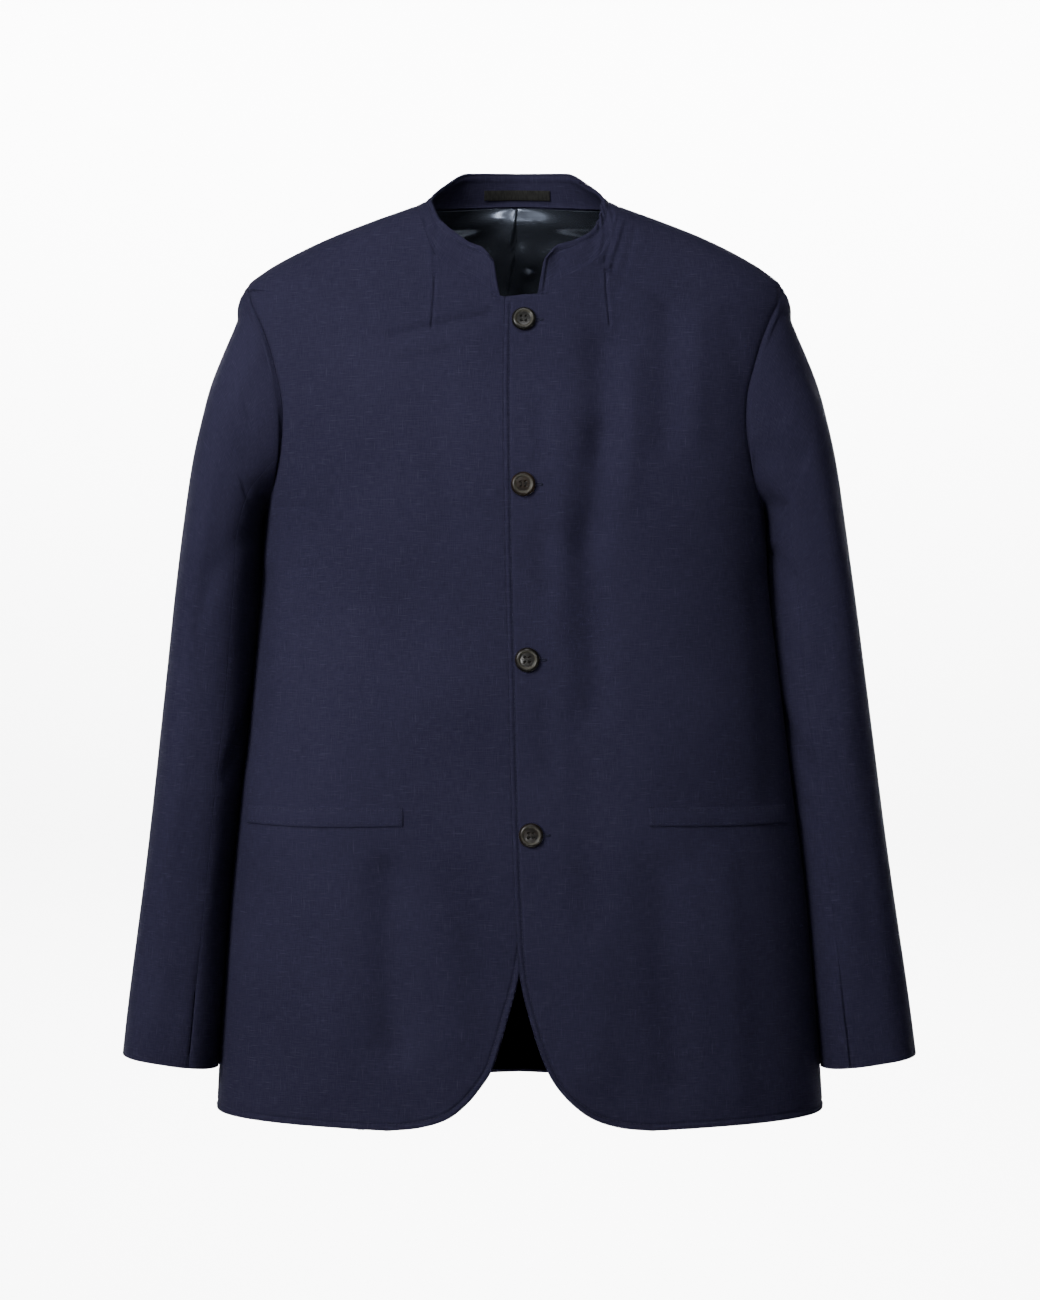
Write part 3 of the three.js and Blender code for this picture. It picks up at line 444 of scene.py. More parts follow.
def ring(values, turn):
    """A rounded ring between the outer and inner ends that the sleeve's columns give."""
    outer_x, outer_drop, inner_x, inner_drop, middle, half = values[:6]
    across, deep = np.cos(turn), np.sin(turn)
    radius = (np.abs(across) ** SLEEVE_POWER + np.abs(deep) ** SLEEVE_POWER) ** (-1 / SLEEVE_POWER)
    share = (1 + across * radius) / 2
    return np.stack([mix(inner_x, outer_x, share), middle - half * radius * deep,
                     -mix(inner_drop, outer_drop, share)], axis=-1)


def sleeve_point(side, along, step):
    """A sleeve: along counts the rows of its table and step goes round from the outer end. Near
    the head, each ring still holds some of the armhole's outline."""
    along, step = np.broadcast_arrays(np.asarray(along, float), np.asarray(step, float))
    values = [curve(along) for curve in sleeve_columns]
    turn = np.pi * step / HALF_TURN_STEPS
    start = ring(SLEEVE[0], turn)
    seam = body_point(*armhole_place(side, step))
    seam[..., 0] *= side
    seam[..., 0] += SEAM_GAP
    point = ring(values, turn) + values[6][..., None] * (seam - start)
    point[..., 0] *= side
    return point


def body_normal(angle, z, over=False):
    """Outward direction of the body's surface, from points a short step apart."""
    d_angle = body_point(angle + 0.002, z, over) - body_point(angle - 0.002, z, over)
    d_z = body_point(angle, z + 0.2, over) - body_point(angle, z - 0.2, over)
    return unit(np.cross(d_angle, d_z))


def collar_normal(side, place, height):
    """Outward direction of the collar, from points a short step apart."""
    inside = np.minimum(place, 2 - 0.02)
    d_place = collar_point(side * (inside + 0.01), height) - collar_point(side * (inside - 0.01), height)
    d_height = collar_point(side * inside, height + 0.05) - collar_point(side * inside, height - 0.05)
    normals = unit(np.cross(d_place, d_height))
    away = collar_point(side * inside, height) - COLLAR_CENTRE
    return normals * np.sign(np.sum(normals * away, axis=-1))[..., None]


# Seams shared by two panels
def armhole_seam(side):
    """Points of an armhole and the direction that both panels have there: square to the loop's
    middle line, tilted outwards at the shoulder."""
    step = np.linspace(-HALF_TURN_STEPS, HALF_TURN_STEPS, SEAM_POINTS)
    line = body_point(*armhole_place(side, step))
    middle = -(SHOULDER_DROP + ARMPIT_DROP) / 2
    out = unit(np.stack([np.zeros(SEAM_POINTS), line[:, 1], line[:, 2] - middle], axis=-1))
    out[:, 0] = side * ARMHOLE_SHOULDER_TILT * (1 + np.cos(np.pi * step / HALF_TURN_STEPS)) / 2
    return line, unit(out), np.ones(len(line))


def neck_seam(side):
    """Points of half the neck seam, and the mean of the body's and the collar's directions. The
    stand is cut in one with the fronts, so in front the seam barely shows."""
    place = np.concatenate([np.linspace(0.004, 1, 200), np.linspace(1.004, 2, 240)])
    angle, z = neck_place(side, place)
    plain, lifted = body_normal(angle, z), body_normal(angle, z, side > 0)
    out = np.where((place > 1)[:, None], lifted, plain)
    strength = mix(1.0, HIDDEN_SEAM, ease((place - 0.8) / 0.3))
    return neck_point(side, place), unit(out + collar_normal(side, place, 0.0)), strength


def side_seams(side):
    """Points of the shoulder and side seams, whose direction points neither forwards nor back."""
    z = -np.concatenate([np.linspace(0, SHOULDER_DROP, 160), np.linspace(ARMPIT_DROP, SIDE_HEM_DROP, 500)])
    angle = np.full(len(z), side * np.pi / 2)
    out = body_normal(angle, z)
    out[:, 1] = 0
    return body_point(angle, z), unit(out), np.ones(len(z))


def near_seams(points, seams):
    """For each seam the share with which its own direction counts near it and the direction; the
    seams' hollow at each point; and how far the rim's edge draws in, little on a hidden seam."""
    flat = points.reshape(-1, 3)
    hollow, draw = np.zeros(len(flat)), np.full(len(flat), RIM_DRAW)
    pulls = []
    for line, out, strength in seams:
        best, which = np.full(len(flat), np.inf), np.zeros(len(flat), int)
        for start in range(0, len(line), 60):
            part = line[start:start + 60]
            gap = np.sum(part ** 2, axis=1)[None] - 2 * flat @ part.T
            here = gap.argmin(axis=1)
            gap = gap[np.arange(len(flat)), here]
            which = np.where(gap < best, here + start, which)
            best = np.minimum(best, gap)
        away = np.linalg.norm(flat - line[which], axis=1)
        pulls.append((bell(away, SEAM_TURN_REACH).reshape(points.shape[:2] + (1,)),
                      out[which].reshape(points.shape)))
        close = bell(away, SEAM_HOLLOW_REACH)
        hollow = np.maximum(hollow, strength[which] * close)
        draw = np.minimum(draw, RIM_DRAW * mix(1, strength[which], close))
    shape = points.shape[:2]
    return pulls, -SEAM_DEPTH * hollow.reshape(shape), draw.reshape(shape)


def turned(normals, pulls):
    """Directions that turn towards each seam's own direction beside it."""
    for share, out in pulls:
        normals = unit(normals * (1 - share) + out * share)
    return normals


# Grids and meshes
def grid_normals(points, sign=1.0):
    """Unit directions square to a grid of points, from its differences along rows and columns."""
    return sign * unit(np.cross(np.gradient(points, axis=1), np.gradient(points, axis=0)))


def spread(width, near, far, middle, notch=None):
    """Shares of each row for its columns: fixed distances from its first edge, even steps in the
    middle and fixed distances before its last edge. All of them shrink on a narrow row. Where a
    notch's width is given for each row, a few columns more fill it, and the next stay straight."""
    near, far = np.array(near, float), np.array(far, float)
    room = near[-1] + far[-1]
    fit = np.minimum(1, 0.45 * width / room)[:, None]
    first = near[None, :] * fit / width[:, None]
    if notch is not None:
        added = notch[:, None] * fit / width[:, None] * np.linspace(0, 1, NOTCH_COLUMNS + 1)[1:]
        first = np.hstack([first, first[:, -1:] + added])
    last = 1 - far[None, ::-1] * fit / width[:, None]
    t = np.linspace(0, 1, middle + 2)[None, 1:-1]
    return np.hstack([first, mix(first[:, -1:], last[:, :1], t), last])


def row_values(count_by_part):
    """Row numbers of a panel, each part's rows cut into the given number of finer ones."""
    rows = [np.array([0.0])]
    start = 0
    for length, fine in count_by_part:
        rows.append(start + length * np.arange(1, length * fine + 1) / (length * fine))
        start += length
    return np.concatenate(rows)


def run_lengths(points):
    """Length along each row of a grid from its first point."""
    steps = np.linalg.norm(np.diff(points, axis=1), axis=-1)
    return np.hstack([np.zeros((len(points), 1)), np.cumsum(steps, axis=1)])


def row_widths(surface, count):
    """Length of each of a panel's rows, along 41 points at even shares."""
    even = surface(np.linspace(0, 1, 41)[None, :] * np.ones((count, 1)))
    return run_lengths(even)[:, -1]


def panel_between(inner, outer, over=False):
    """A panel's surface between two edges, each given as its rows' angles and heights: a share runs
    evenly in angle and height from the inner edge to the outer one."""
    def surface(share):
        angle, z = (mix(a[:, None], b[:, None], share) for a, b in zip(inner, outer))
        return body_point(angle, z, over)

    return surface


def mesh_piece(name, points, triangles, materials, uv=None, face_material=None, values=None):
    """An object at the origin from points in millimetres and triangles, smooth shaded."""
    mesh = bpy.data.meshes.new(name)
    mesh.from_pydata(points * MM, [], triangles)
    for material in materials:
        mesh.materials.append(material)
    mesh.polygons.foreach_set("use_smooth", np.ones(len(triangles), bool))
    if face_material is not None:
        mesh.polygons.foreach_set("material_index", face_material.astype(np.int32))
    if uv is not None:
        layer = mesh.uv_layers.new(name="cloth_grain")
        layer.data.foreach_set("uv", (uv[triangles.ravel()] * MM).ravel().astype(np.float32))
    for key, numbers in (values or {}).items():
        layer = mesh.attributes.new(key, "FLOAT", "POINT")
        layer.data.foreach_set("value", numbers.astype(np.float32))
    mesh.update()
    piece = bpy.data.objects.new(name, mesh)
    bpy.context.scene.collection.objects.link(piece)
    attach(piece, "root")
    return piece


def grid_triangles(ids):
    """Two triangles for each square of a grid of point numbers."""
    a, b, c, d = ids[:-1, :-1], ids[1:, :-1], ids[1:, 1:], ids[:-1, 1:]
    return np.concatenate([np.stack([a, b, c], -1).reshape(-1, 3),
                           np.stack([a, c, d], -1).reshape(-1, 3)])


def shell(name, grids, thickness, materials):
    """A closed thin wall on grids of (points, outward directions, uv, draw). Points that coincide
    are welded, every face is repeated a thickness further in, and a half-round rim closes each
    edge; draw is the share of half the thickness by which the faces draw back from the edge."""
    points = np.concatenate([grid[0].reshape(-1, 3) for grid in grids])
    normals = np.concatenate([grid[1].reshape(-1, 3) for grid in grids])
    uv = np.concatenate([grid[2].reshape(-1, 2) for grid in grids])
    draws = np.concatenate([grid[3].ravel() for grid in grids])
    triangles, start = [], 0
    for rows, columns in (grid[3].shape for grid in grids):
        ids = start + np.arange(rows * columns).reshape(rows, columns)
        start += ids.size
        faces = grid_triangles(ids)
        a, b, c = (points[faces[:, i]] for i in range(3))
        facing = np.sum(np.cross(b - a, c - a) * normals[faces[:, 0]], axis=1)
        triangles.append(faces if facing.sum() > 0 else faces[:, ::-1])
    key = np.round(points * WELD_PER_MM).astype(np.int64)
    _, first, where = np.unique(key, axis=0, return_index=True, return_inverse=True)
    triangles = where.ravel()[np.concatenate(triangles)]
    points, normals, uv, draws = points[first], unit(normals[first]), uv[first], draws[first]
    a, b, c = triangles.T
    triangles = triangles[(a != b) & (b != c) & (c != a)]

    count = len(points)
    starts = triangles.ravel()
    ends = np.roll(triangles, -1, axis=1).ravel()
    lone = ~np.isin(starts.astype(np.int64) * count + ends, ends.astype(np.int64) * count + starts)
    starts, ends = starts[lone], ends[lone]
    out = np.zeros_like(points)
    away = unit(np.cross(points[ends] - points[starts], normals[starts] + normals[ends]))
    np.add.at(out, starts, away)
    np.add.at(out, ends, away)
    rim = np.unique(np.concatenate([starts, ends]))
    out = unit(out)
    half = thickness / 2
    back = out[rim] * half * draws[rim, None]
    shifted = points.copy()
    shifted[rim] -= back
    rings = [shifted]
    for turn in np.radians([45, 90, 135]):
        rings.append(points[rim] - back * (1 - math.sin(turn)) - normals[rim] * half * (1 - math.cos(turn)))
    rings.append(shifted - normals * thickness)
    place = np.zeros(count, np.int64)
    place[rim] = np.arange(len(rim))
    layers = [np.arange(count)]
    total = count
    for _ in range(3):
        layers.append(total + place)
        total += len(rim)
    layers.append(total + np.arange(count))
    faces = [triangles, layers[4][triangles[:, ::-1]]]
    for upper, lower in zip(layers[:-1], layers[1:]):
        faces.append(np.stack([upper[ends], upper[starts], lower[starts]], -1))
        faces.append(np.stack([upper[ends], lower[starts], lower[ends]], -1))
    inside = np.zeros(sum(len(f) for f in faces))
    inside[len(triangles):2 * len(triangles)] = len(materials) - 1
    all_uv = np.concatenate([uv, uv[rim], uv[rim], uv[rim], uv])
    return mesh_piece(name, leaned(np.concatenate(rings)), np.concatenate(faces), materials,
                      all_uv, inside)


def distance_to(points, line):
    """Distance in the plane from each point (x, drop) to the nearest of a line's points."""
    flat = points.reshape(-1, 2)
    best = np.full(len(flat), np.inf)
    for part in np.array_split(line, 12):
        gap = np.hypot(flat[:, None, 0] - part[None, :, 0], flat[:, None, 1] - part[None, :, 1])
        best = np.minimum(best, gap.min(axis=1))
    return best.reshape(points.shape[:2])


def stitched_edge(distance):
    """A stitched edge: a narrow hollow along the stitches and a soft roll between them and the edge."""
    return EDGE_ROLL * bell(distance - 2.6, 1.8) - STITCH_HOLLOW * bell(distance - STITCH_INSET, 1.0)


# Finishes, with lengths in metres
THREAD_WIDTH = 0.0006
RIB_WIDTH = 0.0008


def add(tree, kind, inputs=None, **settings):
    """A shader node with its settings, its plain values and its links."""
    node = tree.nodes.new(kind)
    for key, value in settings.items():
        setattr(node, key, value)
    for key, value in (inputs or {}).items():
        if isinstance(value, bpy.types.NodeSocket):
            tree.links.new(value, node.inputs[key])
        else:
            node.inputs[key].default_value = value
    return node


def new_finish(name):
    """A new material with its node tree and its shader."""
    material = bpy.data.materials.new(name)
    material.use_nodes = True
    tree = material.node_tree
    return material, tree, tree.nodes["Principled BSDF"]


def math_node(tree, operation, a, b=0.0):
    """The result of one operation on two sockets or values."""
    return add(tree, "ShaderNodeMath", {0: a, 1: b}, operation=operation).outputs[0]


def stretched_noise(tree, grain, scale, detail=2.0):
    """Noise drawn out along one thread direction of the cloth."""
    place = add(tree, "ShaderNodeMapping", {"Vector": grain, "Scale": scale}).outputs[0]
    return add(tree, "ShaderNodeTexNoise", {"Vector": place, "Scale": 1.0, "Detail": detail}).outputs[0]


def ramp(tree, factor, low, high):
    """0 below the low value, 1 above the high one and straight between them."""
    return add(tree, "ShaderNodeMapRange", {"Value": factor, "From Min": low, "From Max": high}).outputs[0]


def set_values(shader, values):
    """Plain values on the shader's own sockets."""
    for key, value in values.items():
        shader.inputs[key].default_value = value


def bump_from(tree, shader, height, strength, depth):
    """Bump from a height, of a depth in metres."""
    bump = add(tree, "ShaderNodeBump", {"Height": height, "Strength": strength, "Distance": depth})
    tree.links.new(bump.outputs[0], shader.inputs["Normal"])


def blend_colour(tree, factor, a, b):
    """The colour a share of the way from a to b."""
    node = add(tree, "ShaderNodeMix", data_type="RGBA")
    for socket, value in ((node.inputs[0], factor), (node.inputs[6], a), (node.inputs[7], b)):
        if isinstance(value, bpy.types.NodeSocket):
            tree.links.new(value, socket)
        else:
            socket.default_value = value
    return node.outputs[2]


def suiting(name, dark, light, slub):
    """Navy suiting: long uneven threads both ways in two tones, a few thick pale threads, a fine
    plain weave as bump, slow changes of tone over the whole garment and hardly any sheen."""
    material, tree, shader = new_finish(name)
    grain = add(tree, "ShaderNodeUVMap", uv_map="cloth_grain").outputs[0]
    warp = stretched_noise(tree, grain, (1300.0, 110.0, 1.0))
    weft = stretched_noise(tree, grain, (120.0, 1250.0, 1.0))
    threads = ramp(tree, math_node(tree, "ADD", warp, weft), 0.6, 1.4)
    thick_warp = ramp(tree, stretched_noise(tree, grain, (900.0, 70.0, 5.0), 1.0), 0.64, 0.8)
    thick_weft = ramp(tree, stretched_noise(tree, grain, (75.0, 850.0, 9.0), 1.0), 0.62, 0.78)
    slubs = math_node(tree, "MAXIMUM", thick_warp, thick_weft)
    place = add(tree, "ShaderNodeTexCoord").outputs["Object"]
    slow = add(tree, "ShaderNodeTexNoise", {"Vector": place, "Scale": 9.0, "Detail": 3.0}).outputs[0]
    tone = math_node(tree, "ADD", math_node(tree, "MULTIPLY", threads, 0.7),
                     math_node(tree, "MULTIPLY", ramp(tree, slow, 0.3, 0.7), 0.3))
    colour = blend_colour(tree, tone, dark, light)
    colour = blend_colour(tree, math_node(tree, "MULTIPLY", slubs, 0.4), colour, slub)
    split = add(tree, "ShaderNodeSeparateXYZ", {0: grain})
    u = math_node(tree, "SINE", math_node(tree, "MULTIPLY", split.outputs[0], math.pi / THREAD_WIDTH))
    v = math_node(tree, "SINE", math_node(tree, "MULTIPLY", split.outputs[1], math.pi / THREAD_WIDTH))
    weave = math_node(tree, "MULTIPLY", math_node(tree, "MULTIPLY", u, v), 0.35)
    height = math_node(tree, "ADD", weave, math_node(tree, "ADD", threads, slubs))
    bump_from(tree, shader, height, 0.35, 0.0003)
    tree.links.new(colour, shader.inputs["Base Color"])
    tree.links.new(math_node(tree, "SUBTRACT", 0.93, math_node(tree, "MULTIPLY", threads, 0.12)),
                   shader.inputs["Roughness"])
    set_values(shader, {"Sheen Weight": 0.01, "Sheen Roughness": 0.4, "Specular IOR Level": 0.02,
                        "Sheen Tint": (0.45, 0.5, 0.95, 1.0)})
    return material


def satin(name, dark, light):
    """Satin lining: fine drawn-out threads in two close tones on a glossy face, whose gleam is drawn
    out by the anisotropy along the threads."""
    material, tree, shader = new_finish(name)
    grain = add(tree, "ShaderNodeUVMap", uv_map="cloth_grain").outputs[0]
    threads = ramp(tree, stretched_noise(tree, grain, (2200.0, 70.0, 1.0)), 0.3, 0.7)
    cross = ramp(tree, stretched_noise(tree, grain, (60.0, 900.0, 3.0)), 0.3, 0.7)
    colour = blend_colour(tree, math_node(tree, "MULTIPLY", math_node(tree, "ADD", threads, cross), 0.5),
                          dark, light)
    bump_from(tree, shader, threads, 0.03, 0.0001)
    tree.links.new(colour, shader.inputs["Base Color"])
    tree.links.new(math_node(tree, "ADD", 0.22, math_node(tree, "MULTIPLY", cross, 0.02)),
                   shader.inputs["Roughness"])
    set_values(shader, {"Metallic": 0.8, "Anisotropic": 0.8})
    tangent = add(tree, "ShaderNodeTangent", direction_type="UV_MAP", uv_map="cloth_grain")
    tree.links.new(tangent.outputs[0], shader.inputs["Tangent"])
    return material


def tape(name, dark, light, gloss):
    """Woven tape: fine cross ribs, left bare."""
    material, tree, shader = new_finish(name)
    grain = add(tree, "ShaderNodeUVMap", uv_map="cloth_grain").outputs[0]
    split = add(tree, "ShaderNodeSeparateXYZ", {0: grain})
    ribs = math_node(tree, "SINE", math_node(tree, "MULTIPLY", split.outputs[0], 2 * math.pi / RIB_WIDTH))
    threads = ramp(tree, stretched_noise(tree, grain, (900.0, 200.0, 1.0)), 0.3, 0.7)
    height = math_node(tree, "ADD", math_node(tree, "MULTIPLY", ribs, 0.5), threads)
    bump_from(tree, shader, height, 0.3, 0.0002)
    tree.links.new(blend_colour(tree, threads, dark, light), shader.inputs["Base Color"])
    set_values(shader, {"Roughness": 0.7, "Specular IOR Level": gloss})
    return material


def thread(name, dark, light):
    """Sewing thread: twisted two-tone strands on the object's own coordinates."""
    material, tree, shader = new_finish(name)
    place = add(tree, "ShaderNodeTexCoord").outputs["Object"]
    twist = add(tree, "ShaderNodeTexNoise", {"Vector": place, "Scale": 2600.0, "Detail": 1.0}).outputs[0]
    tree.links.new(blend_colour(tree, ramp(tree, twist, 0.35, 0.65), dark, light),
                   shader.inputs["Base Color"])
    bump_from(tree, shader, twist, 0.3, 0.0001)
    set_values(shader, {"Roughness": 0.8, "Specular IOR Level": 0.15})
    return material


def horn(name):
    """Polished horn: grey-brown clouds drawn out in streaks, browner where warmth is high, with a painted
    highlight that makes the crest of the rim paler, under a thin clear coat with fine scratches in its
    roughness."""
    material, tree, shader = new_finish(name)
    place = add(tree, "ShaderNodeTexCoord").outputs["Object"]
    stretched = add(tree, "ShaderNodeMapping", {"Vector": place, "Scale": (90.0, 90.0, 320.0),
                                                "Rotation": (0.0, 0.5, 0.3)}).outputs[0]
    clouds = add(tree, "ShaderNodeTexNoise", {"Vector": stretched, "Scale": 1.0, "Detail": 5.0,
                                              "Distortion": 1.2}).outputs[0]
    warmth = add(tree, "ShaderNodeAttribute", attribute_name="warmth").outputs["Fac"]
    cloudy = ramp(tree, clouds, 0.35, 0.7)
    grey = blend_colour(tree, cloudy, (0.0012, 0.0011, 0.001, 1), (0.009, 0.0085, 0.0072, 1))
    brown = blend_colour(tree, cloudy, (0.003, 0.002, 0.0013, 1), (0.021, 0.012, 0.0065, 1))
    # Painted highlight: the crest of the rim is blended to a paler colour, standing in for the gleam that
    # the raised rim catches.
    rim = add(tree, "ShaderNodeAttribute", attribute_name="rim").outputs["Fac"]
    body = blend_colour(tree, warmth, grey, brown)
    tree.links.new(blend_colour(tree, rim, body, (0.055, 0.052, 0.042, 1)), shader.inputs["Base Color"])
    fine = add(tree, "ShaderNodeTexNoise", {"Vector": place, "Scale": 900.0, "Detail": 2.0}).outputs[0]
    tree.links.new(math_node(tree, "ADD", 0.26, math_node(tree, "MULTIPLY", fine, 0.12)),
                   shader.inputs["Roughness"])
    bump_from(tree, shader, clouds, 0.03, 0.0001)
    set_values(shader, {"Specular IOR Level": 0.22, "Coat Weight": 0.12, "Coat Roughness": 0.12})
    return material


cloth = suiting("navy_suiting", (0.0125, 0.0118, 0.0255, 1), (0.0245, 0.0230, 0.0465, 1),
                (0.039, 0.038, 0.068, 1))
lining = satin("blue_grey_satin", (0.07, 0.083, 0.113, 1), (0.108, 0.124, 0.158, 1))
# A near-black finish for the lining's lower part: painted shade for the unlit inside of the hollow back.
painted_shade_finish = tape("painted_shade_black_lining", (0.0006, 0.0006, 0.0006, 1), (0.0014, 0.0014, 0.0014, 1), 0.0)
label_tape = tape("bare_label_tape", (0.008, 0.008, 0.0078, 1), (0.017, 0.017, 0.016, 1), 0.08)
navy_thread = thread("navy_thread", (0.0105, 0.0105, 0.0240, 1), (0.0235, 0.0235, 0.0500, 1))
dark_thread = thread("dark_thread", (0.006, 0.006, 0.007, 1), (0.022, 0.021, 0.020, 1))
button_horn = horn("dark_horn")


# The fronts
def edge_share_at(side, drop):
    """Share of the front edge's length at which it reaches a drop."""
    shares = np.linspace(0, 1, 4000)
    return shares[np.searchsorted(edge_curve[side](shares)[1], drop)]


def outer_edge(side, row, way, hem_rows):
    """Shoulder seam, armhole and side seam of a panel; way is 1 on the fronts and -1 on the back."""
    armhole_end = NECK_ROWS + ARMHOLE_ROWS
    side_end = armhole_end + SIDE_ROWS
    shoulder_z = -SHOULDER_DROP * row / NECK_ROWS
    hole_angle, hole_z = armhole_place(side, way * np.clip(row - NECK_ROWS, 0, ARMHOLE_ROWS))
    side_drop = np.where(row <= side_end,
                         mix(ARMPIT_DROP, HEM_START_DROP, (row - armhole_end) / SIDE_ROWS),
                         mix(HEM_START_DROP, SIDE_HEM_DROP, (row - side_end) / hem_rows))
    z = np.where(row < NECK_ROWS, shoulder_z, np.where(row <= armhole_end, hole_z, -side_drop))
    seam = side * (np.pi / 2) - way * side * SEAM_GAP / 2 / body_front(-z)
    on_hole = (row > NECK_ROWS) & (row < armhole_end)
    return np.where(on_hole, hole_angle, seam), z


def front_inner_edge(side, row):
    """Neck seam, top edge, front edge and cut-away hem of a front."""
    edge = edge_curve[side]
    armhole_end = NECK_ROWS + ARMHOLE_ROWS
    hem_start = armhole_end + SIDE_ROWS
    neck_rows = NECK_ROWS - TOP_EDGE_ROWS
    knots = [0, NECK_ROWS, armhole_end, hem_start, hem_start + HEM_ROWS]
    shares = [0, 0, edge_share_at(side, ARMPIT_DROP), edge_share_at(side, HEM_START_DROP), 1]
    x, drop = edge(np.interp(row, knots, shares))
    end_x, end_drop = neck_curve[side](1.0)
    corner_x, corner_drop = edge(0.0)
    t = np.clip((row - neck_rows) / TOP_EDGE_ROWS, 0, 1)
    top = row < NECK_ROWS
    x = np.where(top, mix(end_x, corner_x, t), x)
    drop = np.where(top, mix(end_drop, corner_drop, t), drop)
    angle, z = neck_place(side, 1 + np.clip(row / neck_rows, 0, 1))
    start = side * SEAM_GAP / 2 / body_front(-z) * np.maximum(0, 1 - row / neck_rows)
    on_neck = row <= neck_rows
    return np.where(on_neck, angle - start, front_angle(x, -drop)), np.where(on_neck, z, -drop)


# Neck darts: x, drop
DARTS = {1: [(71, 47), (72, 72), (74.5, 101)], -1: [(-63.6, 40), (-62.2, 70), (-64.3, 103)]}
# Distances of a panel's columns from its open edge, its seams and its dart
EDGE_STEPS = [0, 0.5, 1.1, 1.8, 2.6, 3.4, 4.1, 4.6, 5.0, 5.4, 5.9, 6.6, 7.6, 9.0, 11.0]
SEAM_STEPS = [0, 0.5, 1.1, 1.9, 2.9, 4.2, 6.0]
BACK_MIDDLE_STEPS = [0, 0.6, 1.2, 1.9, 2.8, 3.9, 5.5, 8, 11]
DART_STEPS = np.array([-3.2, -2.0, -1.3, -0.8, -0.4, 0, 0.4, 0.8, 1.3, 2.0, 3.2])


def front_grid(side):
    """A front panel: straight runs in angle and height from its inner to its outer edge, with
    closer columns at the edges and along the neck dart."""
    row = row_values([(NECK_ROWS, 6), (ARMHOLE_ROWS, 7), (SIDE_ROWS, 9), (HEM_ROWS, 8)])
    row[0] = FIRST_ROW
    inner = front_inner_edge(side, row)
    outer = outer_edge(side, row, 1, HEM_ROWS)
    surface = panel_between(inner, outer, side > 0)
    width = row_widths(surface, len(row))
    opened = abs(neck_curve[side](1.0)[0] - edge_curve[side](0.0)[0])
    notch = NOTCH_LEAST + opened * np.clip((row - NECK_ROWS + TOP_EDGE_ROWS) / TOP_EDGE_ROWS, 0, 1)
    share = spread(width, EDGE_STEPS, SEAM_STEPS, 60, notch)
    share = with_dart(side, share, width, inner, outer)
    points = surface(share)
    pulls, hollow, draw = near_seams(points, [side_seams(side), armhole_seam(side), neck_seam(side)])
    normals = turned(grid_normals(points, -side), pulls)
    flat = np.stack([points[..., 0], -points[..., 2]], axis=-1)
    edge_line = np.stack(edge_curve[side](np.linspace(0, 1, 1500)), axis=-1)
    end = np.stack(neck_curve[side](1.0))
    top_line = mix(end, edge_line[0], np.linspace(0, 1, 60)[:, None])
    to_edge = distance_to(flat, np.vstack([top_line, edge_line, flat[-1]]))
    to_edge = np.where(np.abs(flat[..., 1]) < UNSTITCHED_DROP, np.inf, to_edge)
    relief = stitched_edge(to_edge) + hollow
    dart_line = np.stack(smooth_path(DARTS[side])(np.linspace(0, 1, 240)), axis=-1)
    to_dart = distance_to(flat, dart_line)
    relief -= DART_DEPTH * bell(to_dart, 0.9)
    relief += DART_ROLL * bell(to_dart - 2.6, 1.6)
    points = points + normals * relief[..., None]
    uv = np.stack([inner_u(points, side), points[..., 2]], axis=-1)
    return points, turned(grid_normals(points, -side), pulls), uv, draw


def inner_u(points, side):
    """Distance round the body from the middle of the front, from each row's own lengths."""
    return side * (run_lengths(points) + np.abs(points[:, :1, 0]) * np.sign(points[:, :1, 0] * side))


def with_dart(side, share, width, inner, outer):
    """Adds columns close beside the neck dart, whose line is followed down the whole panel: each
    row's share of the way across is found by going there again from where the last one lay."""
    (inner_angle, inner_z), (outer_angle, outer_z) = inner, outer
    dart = np.array(DARTS[side], float)
    place = np.full(len(width), 0.3)
    for _ in range(6):
        z = mix(inner_z, outer_z, place)
        x = np.interp(-z, dart[:, 1], dart[:, 0])
        place = (front_angle(x, z) - inner_angle) / (outer_angle - inner_angle)
        place = np.clip(place, 0.0, 0.9)
    place = np.clip(place, 18 / width, 0.85)
    fit = np.minimum(1, width / 60)
    beside = place[:, None] + DART_STEPS[None, :] * (fit / width)[:, None]
    return np.sort(np.hstack([share, np.clip(beside, 0.02, 0.97)]), axis=1)


for side, word in ((1, "left"), (-1, "right")):
    piece = shell(f"{word}_front", [front_grid(side)], WALL, [cloth])
    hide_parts(f"front_{word}")


# The back and its lining
def half_back(side, shrink=0.0):
    """Half the back, from its middle (or the neck seam above it) to the side seam: its row numbers
    and its points, which stop short of the side seam by the shrink."""
    row = row_values([(NECK_ROWS, 5), (ARMHOLE_ROWS, 6), (SIDE_ROWS, 9), (BACK_HEM_ROWS, 8)])
    row[0] = FIRST_ROW
    armhole_end = NECK_ROWS + ARMHOLE_ROWS
    side_end = armhole_end + SIDE_ROWS
    neck_angle, neck_z = neck_place(side, 1 - np.clip(row / NECK_ROWS, 0, 1))
    knots = [NECK_ROWS, armhole_end, side_end, side_end + BACK_HEM_ROWS]
    drop = np.interp(row, knots, [-BACK_NECK_RISE, ARMPIT_DROP, HEM_START_DROP, BACK_HEM_DROP])
    on_neck = row <= NECK_ROWS
    inner = np.where(on_neck, neck_angle, side * np.pi), np.where(on_neck, neck_z, -drop)
    surface = panel_between(inner, outer_edge(side, row, -1, BACK_HEM_ROWS))
    width = row_widths(surface, len(row))
    share = spread(width, BACK_MIDDLE_STEPS, SEAM_STEPS, 54)
    return row, surface(share * (1 - shrink / width[:, None]))


